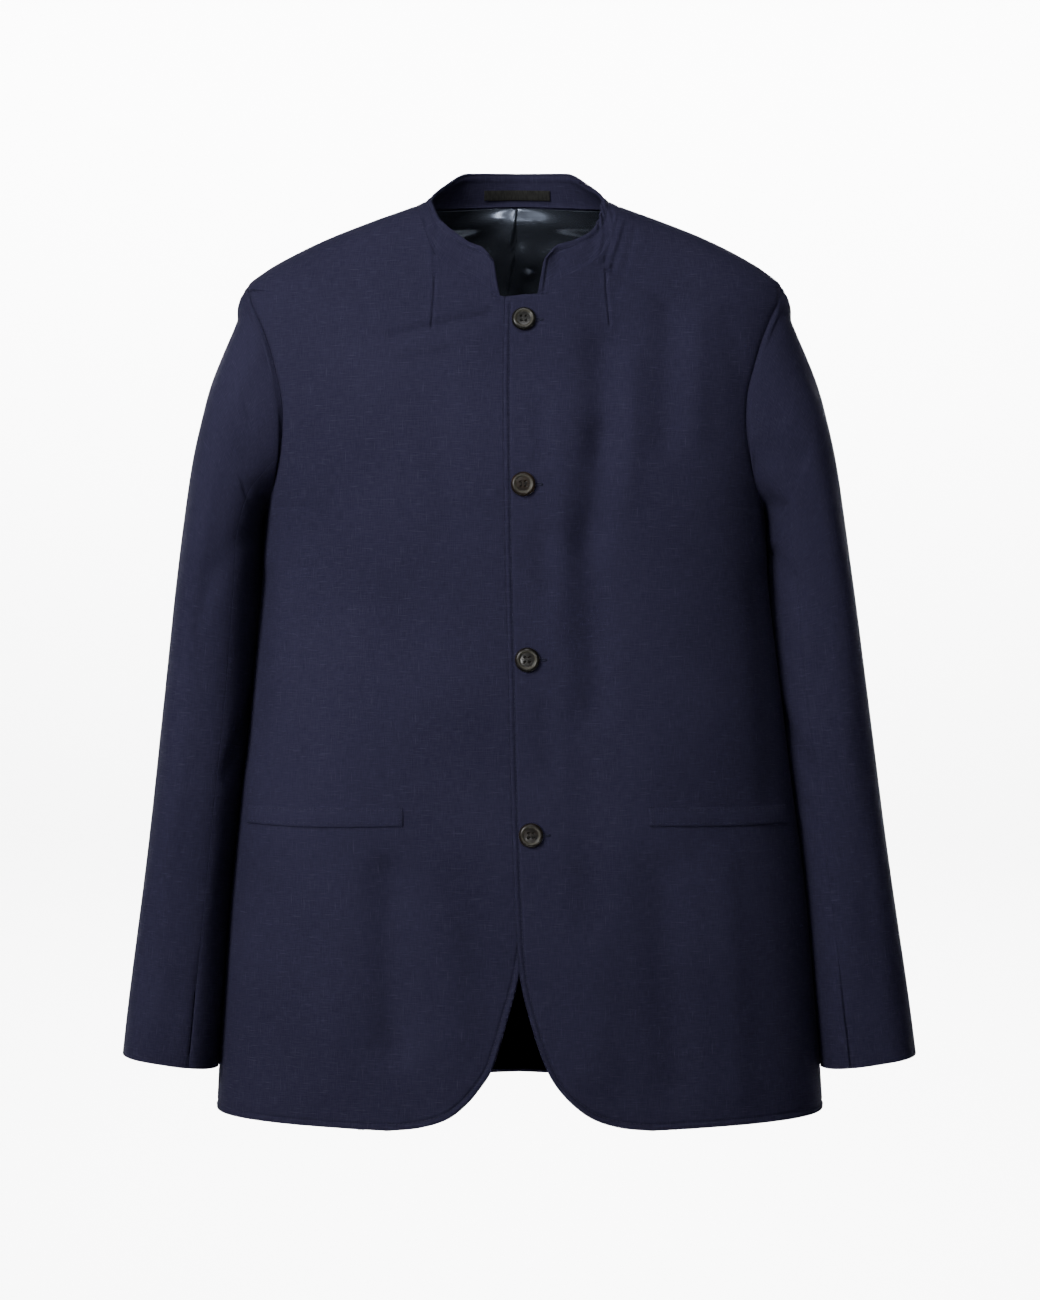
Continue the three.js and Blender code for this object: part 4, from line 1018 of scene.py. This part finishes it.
def back_grid(side):
    """Half the back panel, hollowed along its seams; its directions stay square to the middle."""
    row, points = half_back(side)
    pulls, hollow, draw = near_seams(points, [side_seams(side), armhole_seam(side), neck_seam(side)])
    normals = turned(grid_normals(points, side), pulls)
    centre = row >= NECK_ROWS
    normals[centre, 0, 0] = 0
    points = points + normals * hollow[..., None]
    uv = np.stack([side * run_lengths(points), points[..., 2]], axis=-1)
    normals = turned(grid_normals(points, side), pulls)
    normals[centre, 0, 0] = 0
    return points, unit(normals), uv, draw


def lining_grid(side):
    """The lining follows the back inside it, with a roll under the collar, a pleat down the middle
    and slack diagonal folds, all of them standing inwards."""
    row, points = half_back(side, LINING_INSET)
    keep = row > LINING_FIRST_ROW
    points, row = points[keep], row[keep]
    normals = grid_normals(points, side)
    normals[row >= NECK_ROWS, 0, 0] = 0
    x, drop = points[..., 0], -points[..., 2]
    beside = x - np.interp(drop, *np.transpose(LINING_PLEAT))
    out = 2.6 * np.exp(-np.maximum(0, -beside) / 9) * ease((beside + 30) / 30) * ease((1.4 - beside) / 1.6)
    below = drop + BACK_NECK_RISE - 0.0011 * x ** 2
    out += 3.4 * bell(below - 10, 8)
    out += 2.2 * ease(below / 18) * (0.5 + 0.5 * np.sin(x / 11 + drop / 17)) * bell(x, 80)
    out += 1.6 * ease(below / 25) * (0.5 + 0.5 * np.sin(drop / 23 - np.abs(x) / 19 + 2))
    out += fold_sum(x, drop, LINING_PUFFS) * ease(below / 6)
    points = points - normals * (WALL + LINING_GAP + np.maximum(out, 0))[..., None]
    points[..., 2] += ease((drop - BACK_HEM_DROP + 60) / 60) * LINING_HEM_RISE
    uv = np.stack([side * run_lengths(points), points[..., 2]], axis=-1)
    normals = grid_normals(points, side)
    normals[row >= NECK_ROWS, 0, 0] = 0
    return points, unit(normals), uv, np.full(drop.shape, RIM_DRAW)


piece = shell("whole_back", [back_grid(1), back_grid(-1)], WALL, [cloth])
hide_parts("back")
piece = shell("satin_back_lining", [lining_grid(1), lining_grid(-1)], LINING_WALL, [lining, lining])
# The lining's faces below a set drop get the near-black finish: painted shade for the unlit inside of the
# hollow back.
centres = np.empty(3 * len(piece.data.polygons))
piece.data.polygons.foreach_get("center", centres)
piece.data.materials[1] = painted_shade_finish
painted_shade_faces = centres[2::3] < -PAINTED_SHADE_DROP * MM
piece.data.polygons.foreach_set("material_index", painted_shade_faces.astype(np.int32))
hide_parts("back_lining")


# The sleeves
def sleeve_seam(side, step, along):
    """Points of a seam down the sleeve, and the plain sleeve's outward direction there. The front
    seam shows only towards the cuff."""
    a = np.clip(along, 0.02, len(SLEEVE) - 1.02)
    d_step = sleeve_point(side, a, step + 0.1) - sleeve_point(side, a, step - 0.1)
    d_along = sleeve_point(side, a + 0.01, step) - sleeve_point(side, a - 0.01, step)
    low = ease((along - CUFF_SEAM_START) / 0.8) if step == SLEEVE_FRONT_SEAM else np.ones(len(along))
    strength = mix(UPPER_SLEEVE_SEAM, LOWER_SLEEVE_SEAM, low)
    return sleeve_point(side, along, step), side * unit(np.cross(d_step, d_along)), strength


def beside_body(side, points, share):
    """The sleeve hangs against the body: its inner side comes in by a few millimetres, and where it
    would go into the body it lies flat on it."""
    drop = -points[..., 2]
    inner = 1 - ease((side * points[..., 0] - body_half_width(drop)) / 34)
    draw = np.interp(drop, *np.transpose(SLEEVE_DRAW))
    x = side * points[..., 0] - draw * inner * share
    power = body_power(drop)
    depth = np.where(points[..., 1] < 0, body_front(drop), body_back(drop))
    along = np.clip(np.abs(points[..., 1]) / depth, 0, 1)
    across = (1 - along ** power) ** (1 / power)
    angle = side * np.arctan2(across, -np.sign(points[..., 1]) * along)
    body_x = side * body_point(angle, points[..., 2])[..., 0]
    over = np.maximum(body_x + BODY_CLEARANCE - x, 0) * np.clip(share * 2, 0, 1) * (along < 0.999)
    moved = np.array(points)
    moved[..., 0] = side * (x + over)
    return moved


def sleeve_grid(side, first, last, columns):
    """A sleeve panel between two seams, with its folds moved in square to its surface."""
    along = np.concatenate([[0, 0.01, 0.025, 0.045, 0.07], np.linspace(0.1, 11, 165)])
    width = np.full(len(along), (last - first) * STEP_SPACING)
    share = spread(width, SEAM_STEPS, SEAM_STEPS, columns)
    step = mix(first, last, share)
    gap = SEAM_GAP / 2 / STEP_SPACING
    step = np.clip(step, first + gap, last - gap)
    all_along = along[:, None] * np.ones_like(step)
    points = sleeve_point(side, all_along, step)
    seams = [sleeve_seam(side, first, along), sleeve_seam(side, last, along), armhole_seam(side)]
    pulls, hollow, draw = near_seams(points, seams)
    normals = turned(grid_normals(points, side), pulls)
    folds = SLEEVE_FOLDS[SLEEVE_FOLDS[:, 0] == side, 1:]
    scaled = folds * np.array([RING_SPACING, STEP_SPACING, RING_SPACING, STEP_SPACING, 1, 1])
    a = along[:, None] * RING_SPACING * np.ones_like(step)
    depth = np.zeros_like(step)
    for shift in (-24, 0, 24):
        depth += fold_sum(a, (step + shift) * STEP_SPACING, scaled)
    relief = hollow - depth * ease(a / 30)
    relief += 0.35 * np.sin(step * 1.9 + 0.6) * bell(a - 14, 14) * (np.abs(step) < 6)
    relief += 0.5 * np.sin(a / 37 + step * 0.7) * np.sin(step * 0.9 + a / 71 + 2) * ease(a / 60)
    points = beside_body(side, points + normals * relief[..., None], ease(a / 60))
    uv = np.stack([step * STEP_SPACING, -a], axis=-1)
    return points, turned(grid_normals(points, side), pulls), uv, draw


full_turn = 2 * HALF_TURN_STEPS
for side, word in ((1, "left"), (-1, "right")):
    top = sleeve_grid(side, SLEEVE_BACK_SEAM - full_turn, SLEEVE_FRONT_SEAM, 56)
    under = sleeve_grid(side, SLEEVE_FRONT_SEAM, SLEEVE_BACK_SEAM, 26)
    for kind, grid in (("top", top), ("under", under)):
        piece = shell(f"{word}_{kind}_sleeve", [grid], WALL, [cloth])
        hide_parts(f"{kind}_sleeve_{word}")


# The collar and its label
def collar_columns():
    """Places round the collar, closer together at its two ends."""
    middle = np.linspace(-1.93, 1.93, 190)
    end = 2 - np.array([0, 0.006, 0.014, 0.024, 0.034, 0.044, 0.052, 0.058])
    return np.concatenate([-end, middle, end[::-1]])


COLLAR_HEIGHTS = [0, 0.02, 0.05, 0.09, 0.15, 0.24, 0.36, 0.48, 0.6, 0.7, 0.77, 0.81, 0.85, 0.9, 0.95, 1]


def collar_grid():
    """The whole band: its stitched edge hollowed and rolled, with slow waves and creases."""
    grid_around, grid_height = np.meshgrid(collar_columns(), COLLAR_HEIGHTS)
    points = collar_point(grid_around, grid_height)
    points[..., 2] += SEAM_GAP * (1 - grid_height)
    sign = np.sign(np.sum(grid_normals(points) * (points - COLLAR_CENTRE)))
    pulls, hollow, draw = near_seams(points, [neck_seam(1), neck_seam(-1)])
    normals = turned(grid_normals(points, sign), pulls)
    to_top = (1 - grid_height) * collar_band(np.abs(grid_around))
    to_end = (2 - np.abs(grid_around)) * END_PLACE_LENGTH
    relief = hollow + stitched_edge(np.minimum(to_top, to_end)) * ease(grid_height / 0.1)
    wave = 0.5 * np.sin(grid_around * 9 + 1) * np.sin(grid_height * 3)
    creases = fold_sum(grid_around * CREASE_UNITS[0], grid_height * CREASE_UNITS[1], COLLAR_CREASES)
    points = points + normals * (relief + (wave - creases) * ease(grid_height / 0.15))[..., None]
    uv = np.stack([grid_around * MEAN_PLACE_LENGTH, grid_height * BACK_BAND], axis=-1)
    return points, turned(grid_normals(points, sign), pulls), uv, draw


piece = shell("band_collar", [collar_grid()], COLLAR_WALL, [cloth])
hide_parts("collar")


def label_grid():
    """The label lies inside the back of the collar, a wall and a small gap in from its outer face."""
    around, height = np.meshgrid(np.linspace(-LABEL_REACH, LABEL_REACH, LABEL_COLUMNS),
                                 np.linspace(LABEL_LOW, LABEL_HIGH, 10))
    points = collar_point(around, height)
    normals = grid_normals(points, -1)
    if normals[0, LABEL_COLUMNS // 2, 1] < 0:
        normals = -normals
    points[..., 0] *= LABEL_HALF_WIDTH / np.abs(points[:, -1:, 0])
    edge = np.minimum(np.minimum(around + LABEL_REACH, LABEL_REACH - around) * LABEL_PLACE_LENGTH,
                      np.minimum(height - LABEL_LOW, LABEL_HIGH - height) * BACK_BAND)
    puff = 0.25 * ease(edge / 2.5) + 0.15 * np.sin(around * 24)
    points = points - normals * (COLLAR_WALL + LAYER_GAP + puff)[..., None]
    uv = np.stack([around * LABEL_PLACE_LENGTH, height * BACK_BAND], axis=-1)
    return points, normals, uv, np.full(around.shape, RIM_DRAW)


piece = shell("bare_label", [label_grid()], LABEL_WALL, [label_tape])
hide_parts("collar_label")


# The pocket welts
def welt_lift(down, near_end):
    """How far a welt's face stands off the front, at a share of its height and a distance to its
    nearer end: sunk in at its top edge, full near its lower one, low at its ends."""
    profile = np.interp(down, *np.transpose(WELT_PROFILE))
    return WELT_GAP + WELT_WALL - WELT_SINK + profile * (0.55 + 0.45 * ease(near_end / 3))


def welt_grid(side):
    """A folded strip on the front: thin at its sewn top edge, full and rolled at its lower one."""
    down = np.array([0, 0.03, 0.08, 0.15, 0.25, 0.38, 0.52, 0.66, 0.78, 0.87, 0.94, 1.0])
    share = np.concatenate([[0, 0.004, 0.01, 0.02], np.linspace(0.035, 0.965, 70), [0.98, 0.99, 0.996, 1]])
    sag = 1.6 * np.sin(np.pi * share) * (1 if side < 0 else 0.5)
    x = side * mix(WELT_INNER_X[side], WELT_OUTER_X, share)[None, :] * np.ones((len(down), 1))
    z = -(WELT_TOP_DROP + WELT_HEIGHT * down[:, None] + sag[None, :] * down[:, None])
    angle = front_angle(x, z)
    points = body_point(angle, z, side > 0)
    normals = body_normal(angle, z, side > 0)
    near_end = np.minimum(share, 1 - share) * (WELT_OUTER_X - WELT_INNER_X[side])
    lift = welt_lift(down[:, None], near_end[None, :])
    points = points + normals * lift[..., None]
    uv = np.stack([np.abs(x), z], axis=-1)
    return points, normals, uv, np.full(x.shape, RIM_DRAW)


for side, word in ((1, "left"), (-1, "right")):
    piece = shell(f"{word}_welt", [welt_grid(side)], WELT_WALL, [cloth])
    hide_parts(f"pocket_welt_{word}")


# Stitches
def along_line(points, normals, length, gap):
    """Start, end and outward direction of each stitch along a line of points."""
    run = np.concatenate([[0], np.cumsum(np.linalg.norm(np.diff(points, axis=0), axis=1))])
    starts = np.arange(gap, run[-1] - length, length + gap)

    def at(where, values):
        return np.stack([np.interp(where, run, values[:, i]) for i in range(3)], axis=-1)

    return at(starts, points), at(starts + length, points), unit(at(starts + length / 2, normals))


def stitch_mesh(starts, ends, normals, radius):
    """Each stitch is a small capsule that arches a little above the cloth: five rings of six
    points with the radius small at both ends, closed by two caps."""
    run = unit(ends - starts)
    beside = unit(np.cross(run, normals))
    share = np.array([0.0, 0.14, 0.5, 0.86, 1.0])
    size = radius * np.array([0.35, 0.85, 1.0, 0.85, 0.35])
    rise = radius * np.array([-0.5, 0.25, 0.6, 0.25, -0.5])
    turn = np.arange(6) * np.pi / 3
    centre = starts[:, None] + (ends - starts)[:, None] * share[None, :, None] \
        + normals[:, None] * rise[None, :, None]
    points = centre[:, :, None] + size[None, :, None, None] * (
        np.cos(turn)[None, None, :, None] * beside[:, None, None]
        + np.sin(turn)[None, None, :, None] * normals[:, None, None])
    ids = np.arange(30).reshape(5, 6)
    wrapped = np.hstack([ids, ids[:, :1]])
    faces = grid_triangles(wrapped)[:, ::-1]
    first = np.stack([np.zeros(4, int), np.arange(1, 5), np.arange(2, 6)], -1)
    faces = np.vstack([faces, first, 24 + first[:, ::-1]])
    offsets = ids.size * np.arange(len(starts))[:, None, None]
    return points.reshape(-1, 3), (faces[None] + offsets).reshape(-1, 3)


def outward_fixed(points, faces):
    """Turns all faces of closed small shells outwards, by the sign of their total volume."""
    a, b, c = (points[faces[:, i]] for i in range(3))
    return faces if np.sum(a * np.cross(b, c)) > 0 else faces[:, ::-1]


def join(parts):
    """One list of points and triangles from several."""
    points, faces, start = [], [], 0
    for p, f in parts:
        points.append(p)
        faces.append(f + start)
        start += len(p)
    return np.concatenate(points), np.concatenate(faces)


def front_line(side, x, drop, lift):
    """Points of a front at x and drop, lifted off its outer face, and their directions."""
    angle = front_angle(x, -drop)
    normals = body_normal(angle, -drop, side > 0)
    return body_point(angle, -drop, side > 0) + normals * lift, normals


def inset_edge(side, inset):
    """The front's top edge, front edge and cut-away hem, moved in by an inset."""
    x, drop = edge_curve[side](np.linspace(0, 1, 1200))
    along = unit(np.stack([np.gradient(x), np.gradient(drop)], axis=-1))
    inside_x = x + side * inset * along[:, 1]
    inside_drop = drop - side * inset * along[:, 0]
    keep = inside_drop > drop[0] + inset - 0.5
    end_x, end_drop = neck_curve[side](1.0)
    t = np.linspace(0.05, 0.95, 40)
    first_x = inside_x[keep][0]
    top_x = mix(end_x, first_x, t)
    top_drop = mix(end_drop, drop[0], t) + inset
    return np.concatenate([top_x, inside_x[keep]]), np.concatenate([top_drop, inside_drop[keep]])


# Lengths and gaps of the stitches: along the edges, in the welts' end boxes and the pick stitches
EDGE_STITCH = (2.7, 0.8)
BOX_STITCH = (1.8, 0.5)
PICK_STITCH = (1.6, 3.2)
THREAD_RADIUS = 0.26
# How deep the stitches lie in the hollow along the fronts' and the collar's edges
FRONT_STITCH_SINK = 0.62
COLLAR_STITCH_SINK = 0.6
sewn = []
for side in (1, -1):
    x, drop = inset_edge(side, STITCH_INSET)
    sewn.append(along_line(*front_line(side, x, drop, -FRONT_STITCH_SINK), *EDGE_STITCH))


def collar_line(around, height):
    """Points of the collar sunk to its stitches' depth, and their outward directions, square to
    short steps round it and up it."""
    points = collar_point(around, height)
    before, after = np.clip(around - 0.01, -2, 2), np.clip(around + 0.01, -2, 2)
    d_around = collar_point(after, height) - collar_point(before, height)
    d_height = collar_point(around, height + 0.02) - collar_point(around, height - 0.02)
    normals = unit(np.cross(d_around, d_height))
    outwards = np.sign(np.sum(normals * (points - COLLAR_CENTRE), axis=-1))
    normals = normals * outwards[:, None]
    return points - normals * COLLAR_STITCH_SINK, normals


inset_place = 2 - STITCH_INSET / END_PLACE_LENGTH
around = np.linspace(-inset_place, inset_place, 900)
height = 1 - STITCH_INSET / collar_band(np.abs(around))
sewn.append(along_line(*collar_line(around, height), *EDGE_STITCH))
for end in (-1, 1):
    height = np.linspace(0.1, 1 - STITCH_INSET / 29, 60)
    sewn.append(along_line(*collar_line(np.full(60, end * inset_place), height), *EDGE_STITCH))

# Stitched boxes at the inner ends of the welts and pick stitches along both their edges
for side in (1, -1):
    for inset in (1.2, 2.6):
        drop = np.linspace(WELT_TOP_DROP - 1.5, WELT_TOP_DROP + WELT_HEIGHT + 2.5, 40)
        x = np.full(40, side * (WELT_INNER_X[side] + inset))
        down = (drop - WELT_TOP_DROP) / WELT_HEIGHT
        lift = np.where((down > 0) & (down < 1), np.maximum(welt_lift(down, inset), 0), 0)
        sewn.append(along_line(*front_line(side, x, drop, lift[:, None]), *BOX_STITCH))
    x = side * np.linspace(WELT_INNER_X[side] + 4, WELT_OUTER_X - 2, 300)
    for inset in (2.2, WELT_HEIGHT - 2.0):
        lift = welt_lift(inset / WELT_HEIGHT, 10)
        drop = np.full(300, WELT_TOP_DROP + inset)
        sewn.append(along_line(*front_line(side, x, drop, lift), *PICK_STITCH))

starts, ends, normals = (np.concatenate([row[i] for row in sewn]) for i in range(3))
points, faces = stitch_mesh(starts, ends, normals, THREAD_RADIUS)
piece = mesh_piece("topstitches", leaned(points), outward_fixed(points, faces), [navy_thread])


# Buttonholes and buttons
HOLE_HALF_LENGTH = 11.5
HOLE_HALF_WIDTH = 1.05
HOLE_SHIFT = 3.0
CORD_RADIUS = 0.62
CORD_POINTS = 320
CORD_SIDES = 7
CORD_RIBS = 80


def buttonhole(x, drop):
    """A worked buttonhole: a ribbed cord laid round a long narrow slit, its stitches as ribs."""
    t = np.linspace(0, 1, CORD_POINTS + 1)[:-1]
    angle = 2 * np.pi * t
    across = HOLE_HALF_LENGTH * np.sign(np.cos(angle)) * np.abs(np.cos(angle)) ** 0.55
    down = HOLE_HALF_WIDTH * np.sin(angle)
    line, normals = front_line(1, x + HOLE_SHIFT + across, drop + down, 0.15)
    ahead = unit(np.roll(line, -1, axis=0) - np.roll(line, 1, axis=0))
    beside = unit(np.cross(ahead, normals))
    ribs = CORD_RADIUS * (1 + 0.22 * np.sin(2 * np.pi * CORD_RIBS * t))
    turn = np.arange(CORD_SIDES) * 2 * np.pi / CORD_SIDES
    points = line[:, None] + ribs[:, None, None] * (
        np.cos(turn)[None, :, None] * beside[:, None]
        + 0.7 * np.sin(turn)[None, :, None] * normals[:, None])
    ids = np.arange(CORD_POINTS * CORD_SIDES).reshape(CORD_POINTS, CORD_SIDES)
    ids = np.hstack([ids, ids[:, :1]])
    ids = np.vstack([ids, ids[:1]])
    points = points.reshape(-1, 3)
    return points, outward_fixed(points, grid_triangles(ids))


points, faces = join([buttonhole(x, drop) for x, drop in BUTTONS])
piece = mesh_piece("buttonholes", leaned(points), faces, [navy_thread])

BUTTON_SIDES = 72
FACE_RADIUS = 5.4
HOLE_PLACE = 1.75
HOLE_RADIUS = 0.85
BUTTON_THREAD_RADIUS = 0.24
# Height of the threads over the button's back, and how much they arch
BUTTON_THREAD_HEIGHT = 1.6
BUTTON_THREAD_ARCH = 0.75
# Half profile of a button from the middle of its face, over the rim and under to its back
RIM_PROFILE = np.array([
    (5.4, 2.1), (5.9, 2.3), (6.3, 2.7), (6.6, 3.1), (7.0, 3.35), (7.4, 3.38), (7.8, 3.25), (8.3, 2.95),
    (8.8, 2.55), (9.2, 2.1), (9.45, 1.6), (9.5, 1.15), (9.2, 0.7), (8.5, 0.3), (7.2, 0.1),
    (4.0, 0.0), (1.5, 0.0),
])


def button_points(place, normal):
    """A dished button with a raised rim: rings of points on its profile, four thread holes pressed
    deep into its face, turned so that its face looks along the cloth's outward direction."""
    inner = np.linspace(0.15, FACE_RADIUS, 28)
    face_height = 1.9 + 0.2 * (inner / FACE_RADIUS) ** 2
    radius = np.concatenate([inner[:-1], RIM_PROFILE[:, 0]])
    height = np.concatenate([face_height[:-1], RIM_PROFILE[:, 1]])
    turn = np.arange(BUTTON_SIDES) * 2 * np.pi / BUTTON_SIDES
    u = radius[:, None] * np.cos(turn)[None]
    v = radius[:, None] * np.sin(turn)[None]
    h = height[:, None] * np.ones_like(u)
    for hu in (-HOLE_PLACE, HOLE_PLACE):
        for hv in (-HOLE_PLACE, HOLE_PLACE):
            near = np.hypot(u - hu, v - hv)
            h -= np.where(height[:, None] > 1.85, 0.9 * ease((HOLE_RADIUS + 0.3 - near) / 0.6), 0)
    side_axis = unit(np.cross(np.array([0, 0, 1.0]), normal))
    up_axis = np.cross(normal, side_axis)
    points = place + u[..., None] * side_axis + v[..., None] * up_axis + h[..., None] * normal
    ids = np.arange(points.shape[0] * BUTTON_SIDES).reshape(-1, BUTTON_SIDES)
    faces = grid_triangles(np.hstack([ids, ids[:, :1]]))
    points = points.reshape(-1, 3)
    caps = [place + normal * height[0], place + normal * height[-1]]
    for cap, edge in zip(caps, (ids[0], ids[-1])):
        points = np.vstack([points, cap])
        middle = np.full(BUTTON_SIDES, len(points) - 1)
        fan = np.stack([middle, edge, np.roll(edge, -1)], -1)
        faces = np.vstack([faces, fan if edge[0] == 0 else fan[:, ::-1]])
    return points, faces, side_axis, up_axis


thread_parts = []
for i, (x, drop) in enumerate(BUTTONS):
    place, normal = front_line(1, np.array([float(x)]), np.array([float(drop)]), LAYER_GAP)
    place, normal = place[0], normal[0]
    place[0] += lean_shift(drop)
    points, faces, side_axis, up_axis = button_points(place, normal)
    a, b, c = (points[faces[:, k]] - place for k in range(3))
    if np.sum(a * np.cross(b, c)) < 0:
        faces = faces[:, ::-1]
    warmth = np.full(len(points), 0.9 if i == 1 else 0.15 * i)
    away = points - place
    high = away @ normal
    radius = np.linalg.norm(away - high[:, None] * normal, axis=1)
    # Mask of the painted highlight on the crest of the button's rim.
    rim = bell(radius - 6.5, 0.75) * (high > 1)
    piece = mesh_piece(f"horn_button_{i + 1}", points, faces, [button_horn],
                       values={"warmth": warmth, "rim": rim})
    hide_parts(f"button_{i + 1}")
    spread_by = np.array([-1.0, -0.35, 0.35, 1.0]) * 0.42
    for column_u in (-HOLE_PLACE, HOLE_PLACE):
        u = column_u + spread_by
        low = place + BUTTON_THREAD_HEIGHT * normal
        start = low + u[:, None] * side_axis - HOLE_PLACE * up_axis
        end = low + u[::-1, None] * side_axis + HOLE_PLACE * up_axis
        middle = (start + end) / 2 + BUTTON_THREAD_ARCH * normal
        direction = np.repeat(normal[None], 4, axis=0)
        thread_parts.append(stitch_mesh(start, middle, direction, BUTTON_THREAD_RADIUS))
        thread_parts.append(stitch_mesh(middle, end, direction, BUTTON_THREAD_RADIUS))
points, faces = join(thread_parts)
piece = mesh_piece("button_threads", points, outward_fixed(points, faces), [dark_thread])


# Floor, backdrop and light
def backdrop():
    """A pale floor that sweeps up into a wall: a straight floor, a quarter circle and a wall."""
    floor_z, wall_y, bend = -1.6, 4.0, 0.9
    turn = np.linspace(0, np.pi / 2, 24)
    y = np.concatenate([[-6.0], wall_y - bend + bend * np.sin(turn), [wall_y]])
    z = np.concatenate([[floor_z], floor_z + bend * (1 - np.cos(turn)), [5.0]])
    x = np.array([-9.0, 9.0])
    points = np.stack([np.repeat(x[None], len(y), 0), np.repeat(y[:, None], 2, 1),
                       np.repeat(z[:, None], 2, 1)], axis=-1)
    ids = np.arange(points.shape[0] * 2).reshape(-1, 2)
    mesh = bpy.data.meshes.new("pale_backdrop")
    mesh.from_pydata(points.reshape(-1, 3), [], grid_triangles(ids)[:, ::-1])
    mesh.polygons.foreach_set("use_smooth", np.ones(len(mesh.polygons), bool))
    material, tree, shader = new_finish("pale_paper")
    place = add(tree, "ShaderNodeTexCoord").outputs["Object"]
    noise = add(tree, "ShaderNodeTexNoise", {"Vector": place, "Scale": 3.0}).outputs[0]
    tree.links.new(blend_colour(tree, noise, (0.9, 0.9, 0.9, 1), (0.92, 0.92, 0.92, 1)),
                   shader.inputs["Base Color"])
    shader.inputs["Roughness"].default_value = 0.9
    mesh.materials.append(material)
    piece = bpy.data.objects.new("pale_backdrop", mesh)
    bpy.context.scene.collection.objects.link(piece)


def area_light(name, place, aim, size, power, cone):
    """A rectangular light turned from its place to its aim, with its cone in degrees."""
    data = bpy.data.lights.new(name, "AREA")
    data.spread = math.radians(cone)
    data.shape = "RECTANGLE"
    data.size, data.size_y = size
    data.energy = power
    light = bpy.data.objects.new(name, data)
    light.location = place
    direction = np.array(place, float) - np.array(aim, float)
    flat = math.hypot(direction[0], direction[1])
    light.rotation_euler = (math.atan2(flat, direction[2]), 0.0, math.atan2(direction[0], -direction[1]))
    bpy.context.scene.collection.objects.link(light)


backdrop()
area_light("key_left", (-1.8, -2.1, 0.66), (-0.28, 0, -0.3), (0.9, 1.3), 9.7, 46)
area_light("front_fill", (0.4, -2.6, -0.2), (0.05, 0, -0.25), (0.2, 0.7), 0.15, 12)
area_light("neck_strip", (-0.2, -1.5, 1.9), (0, 0, 0.06), (3.2, 0.4), 3.9, 28)
area_light("backdrop_wash", (0, 2.4, 2.1), (0, 4.0, -0.3), (5.0, 0.6), 640, 95)
world = bpy.data.worlds.new("studio")
world.use_nodes = True
world.node_tree.nodes["Background"].inputs["Color"].default_value = (1.0, 1.0, 1.0, 1.0)
world.node_tree.nodes["Background"].inputs["Strength"].default_value = 0.17
bpy.context.scene.world = world
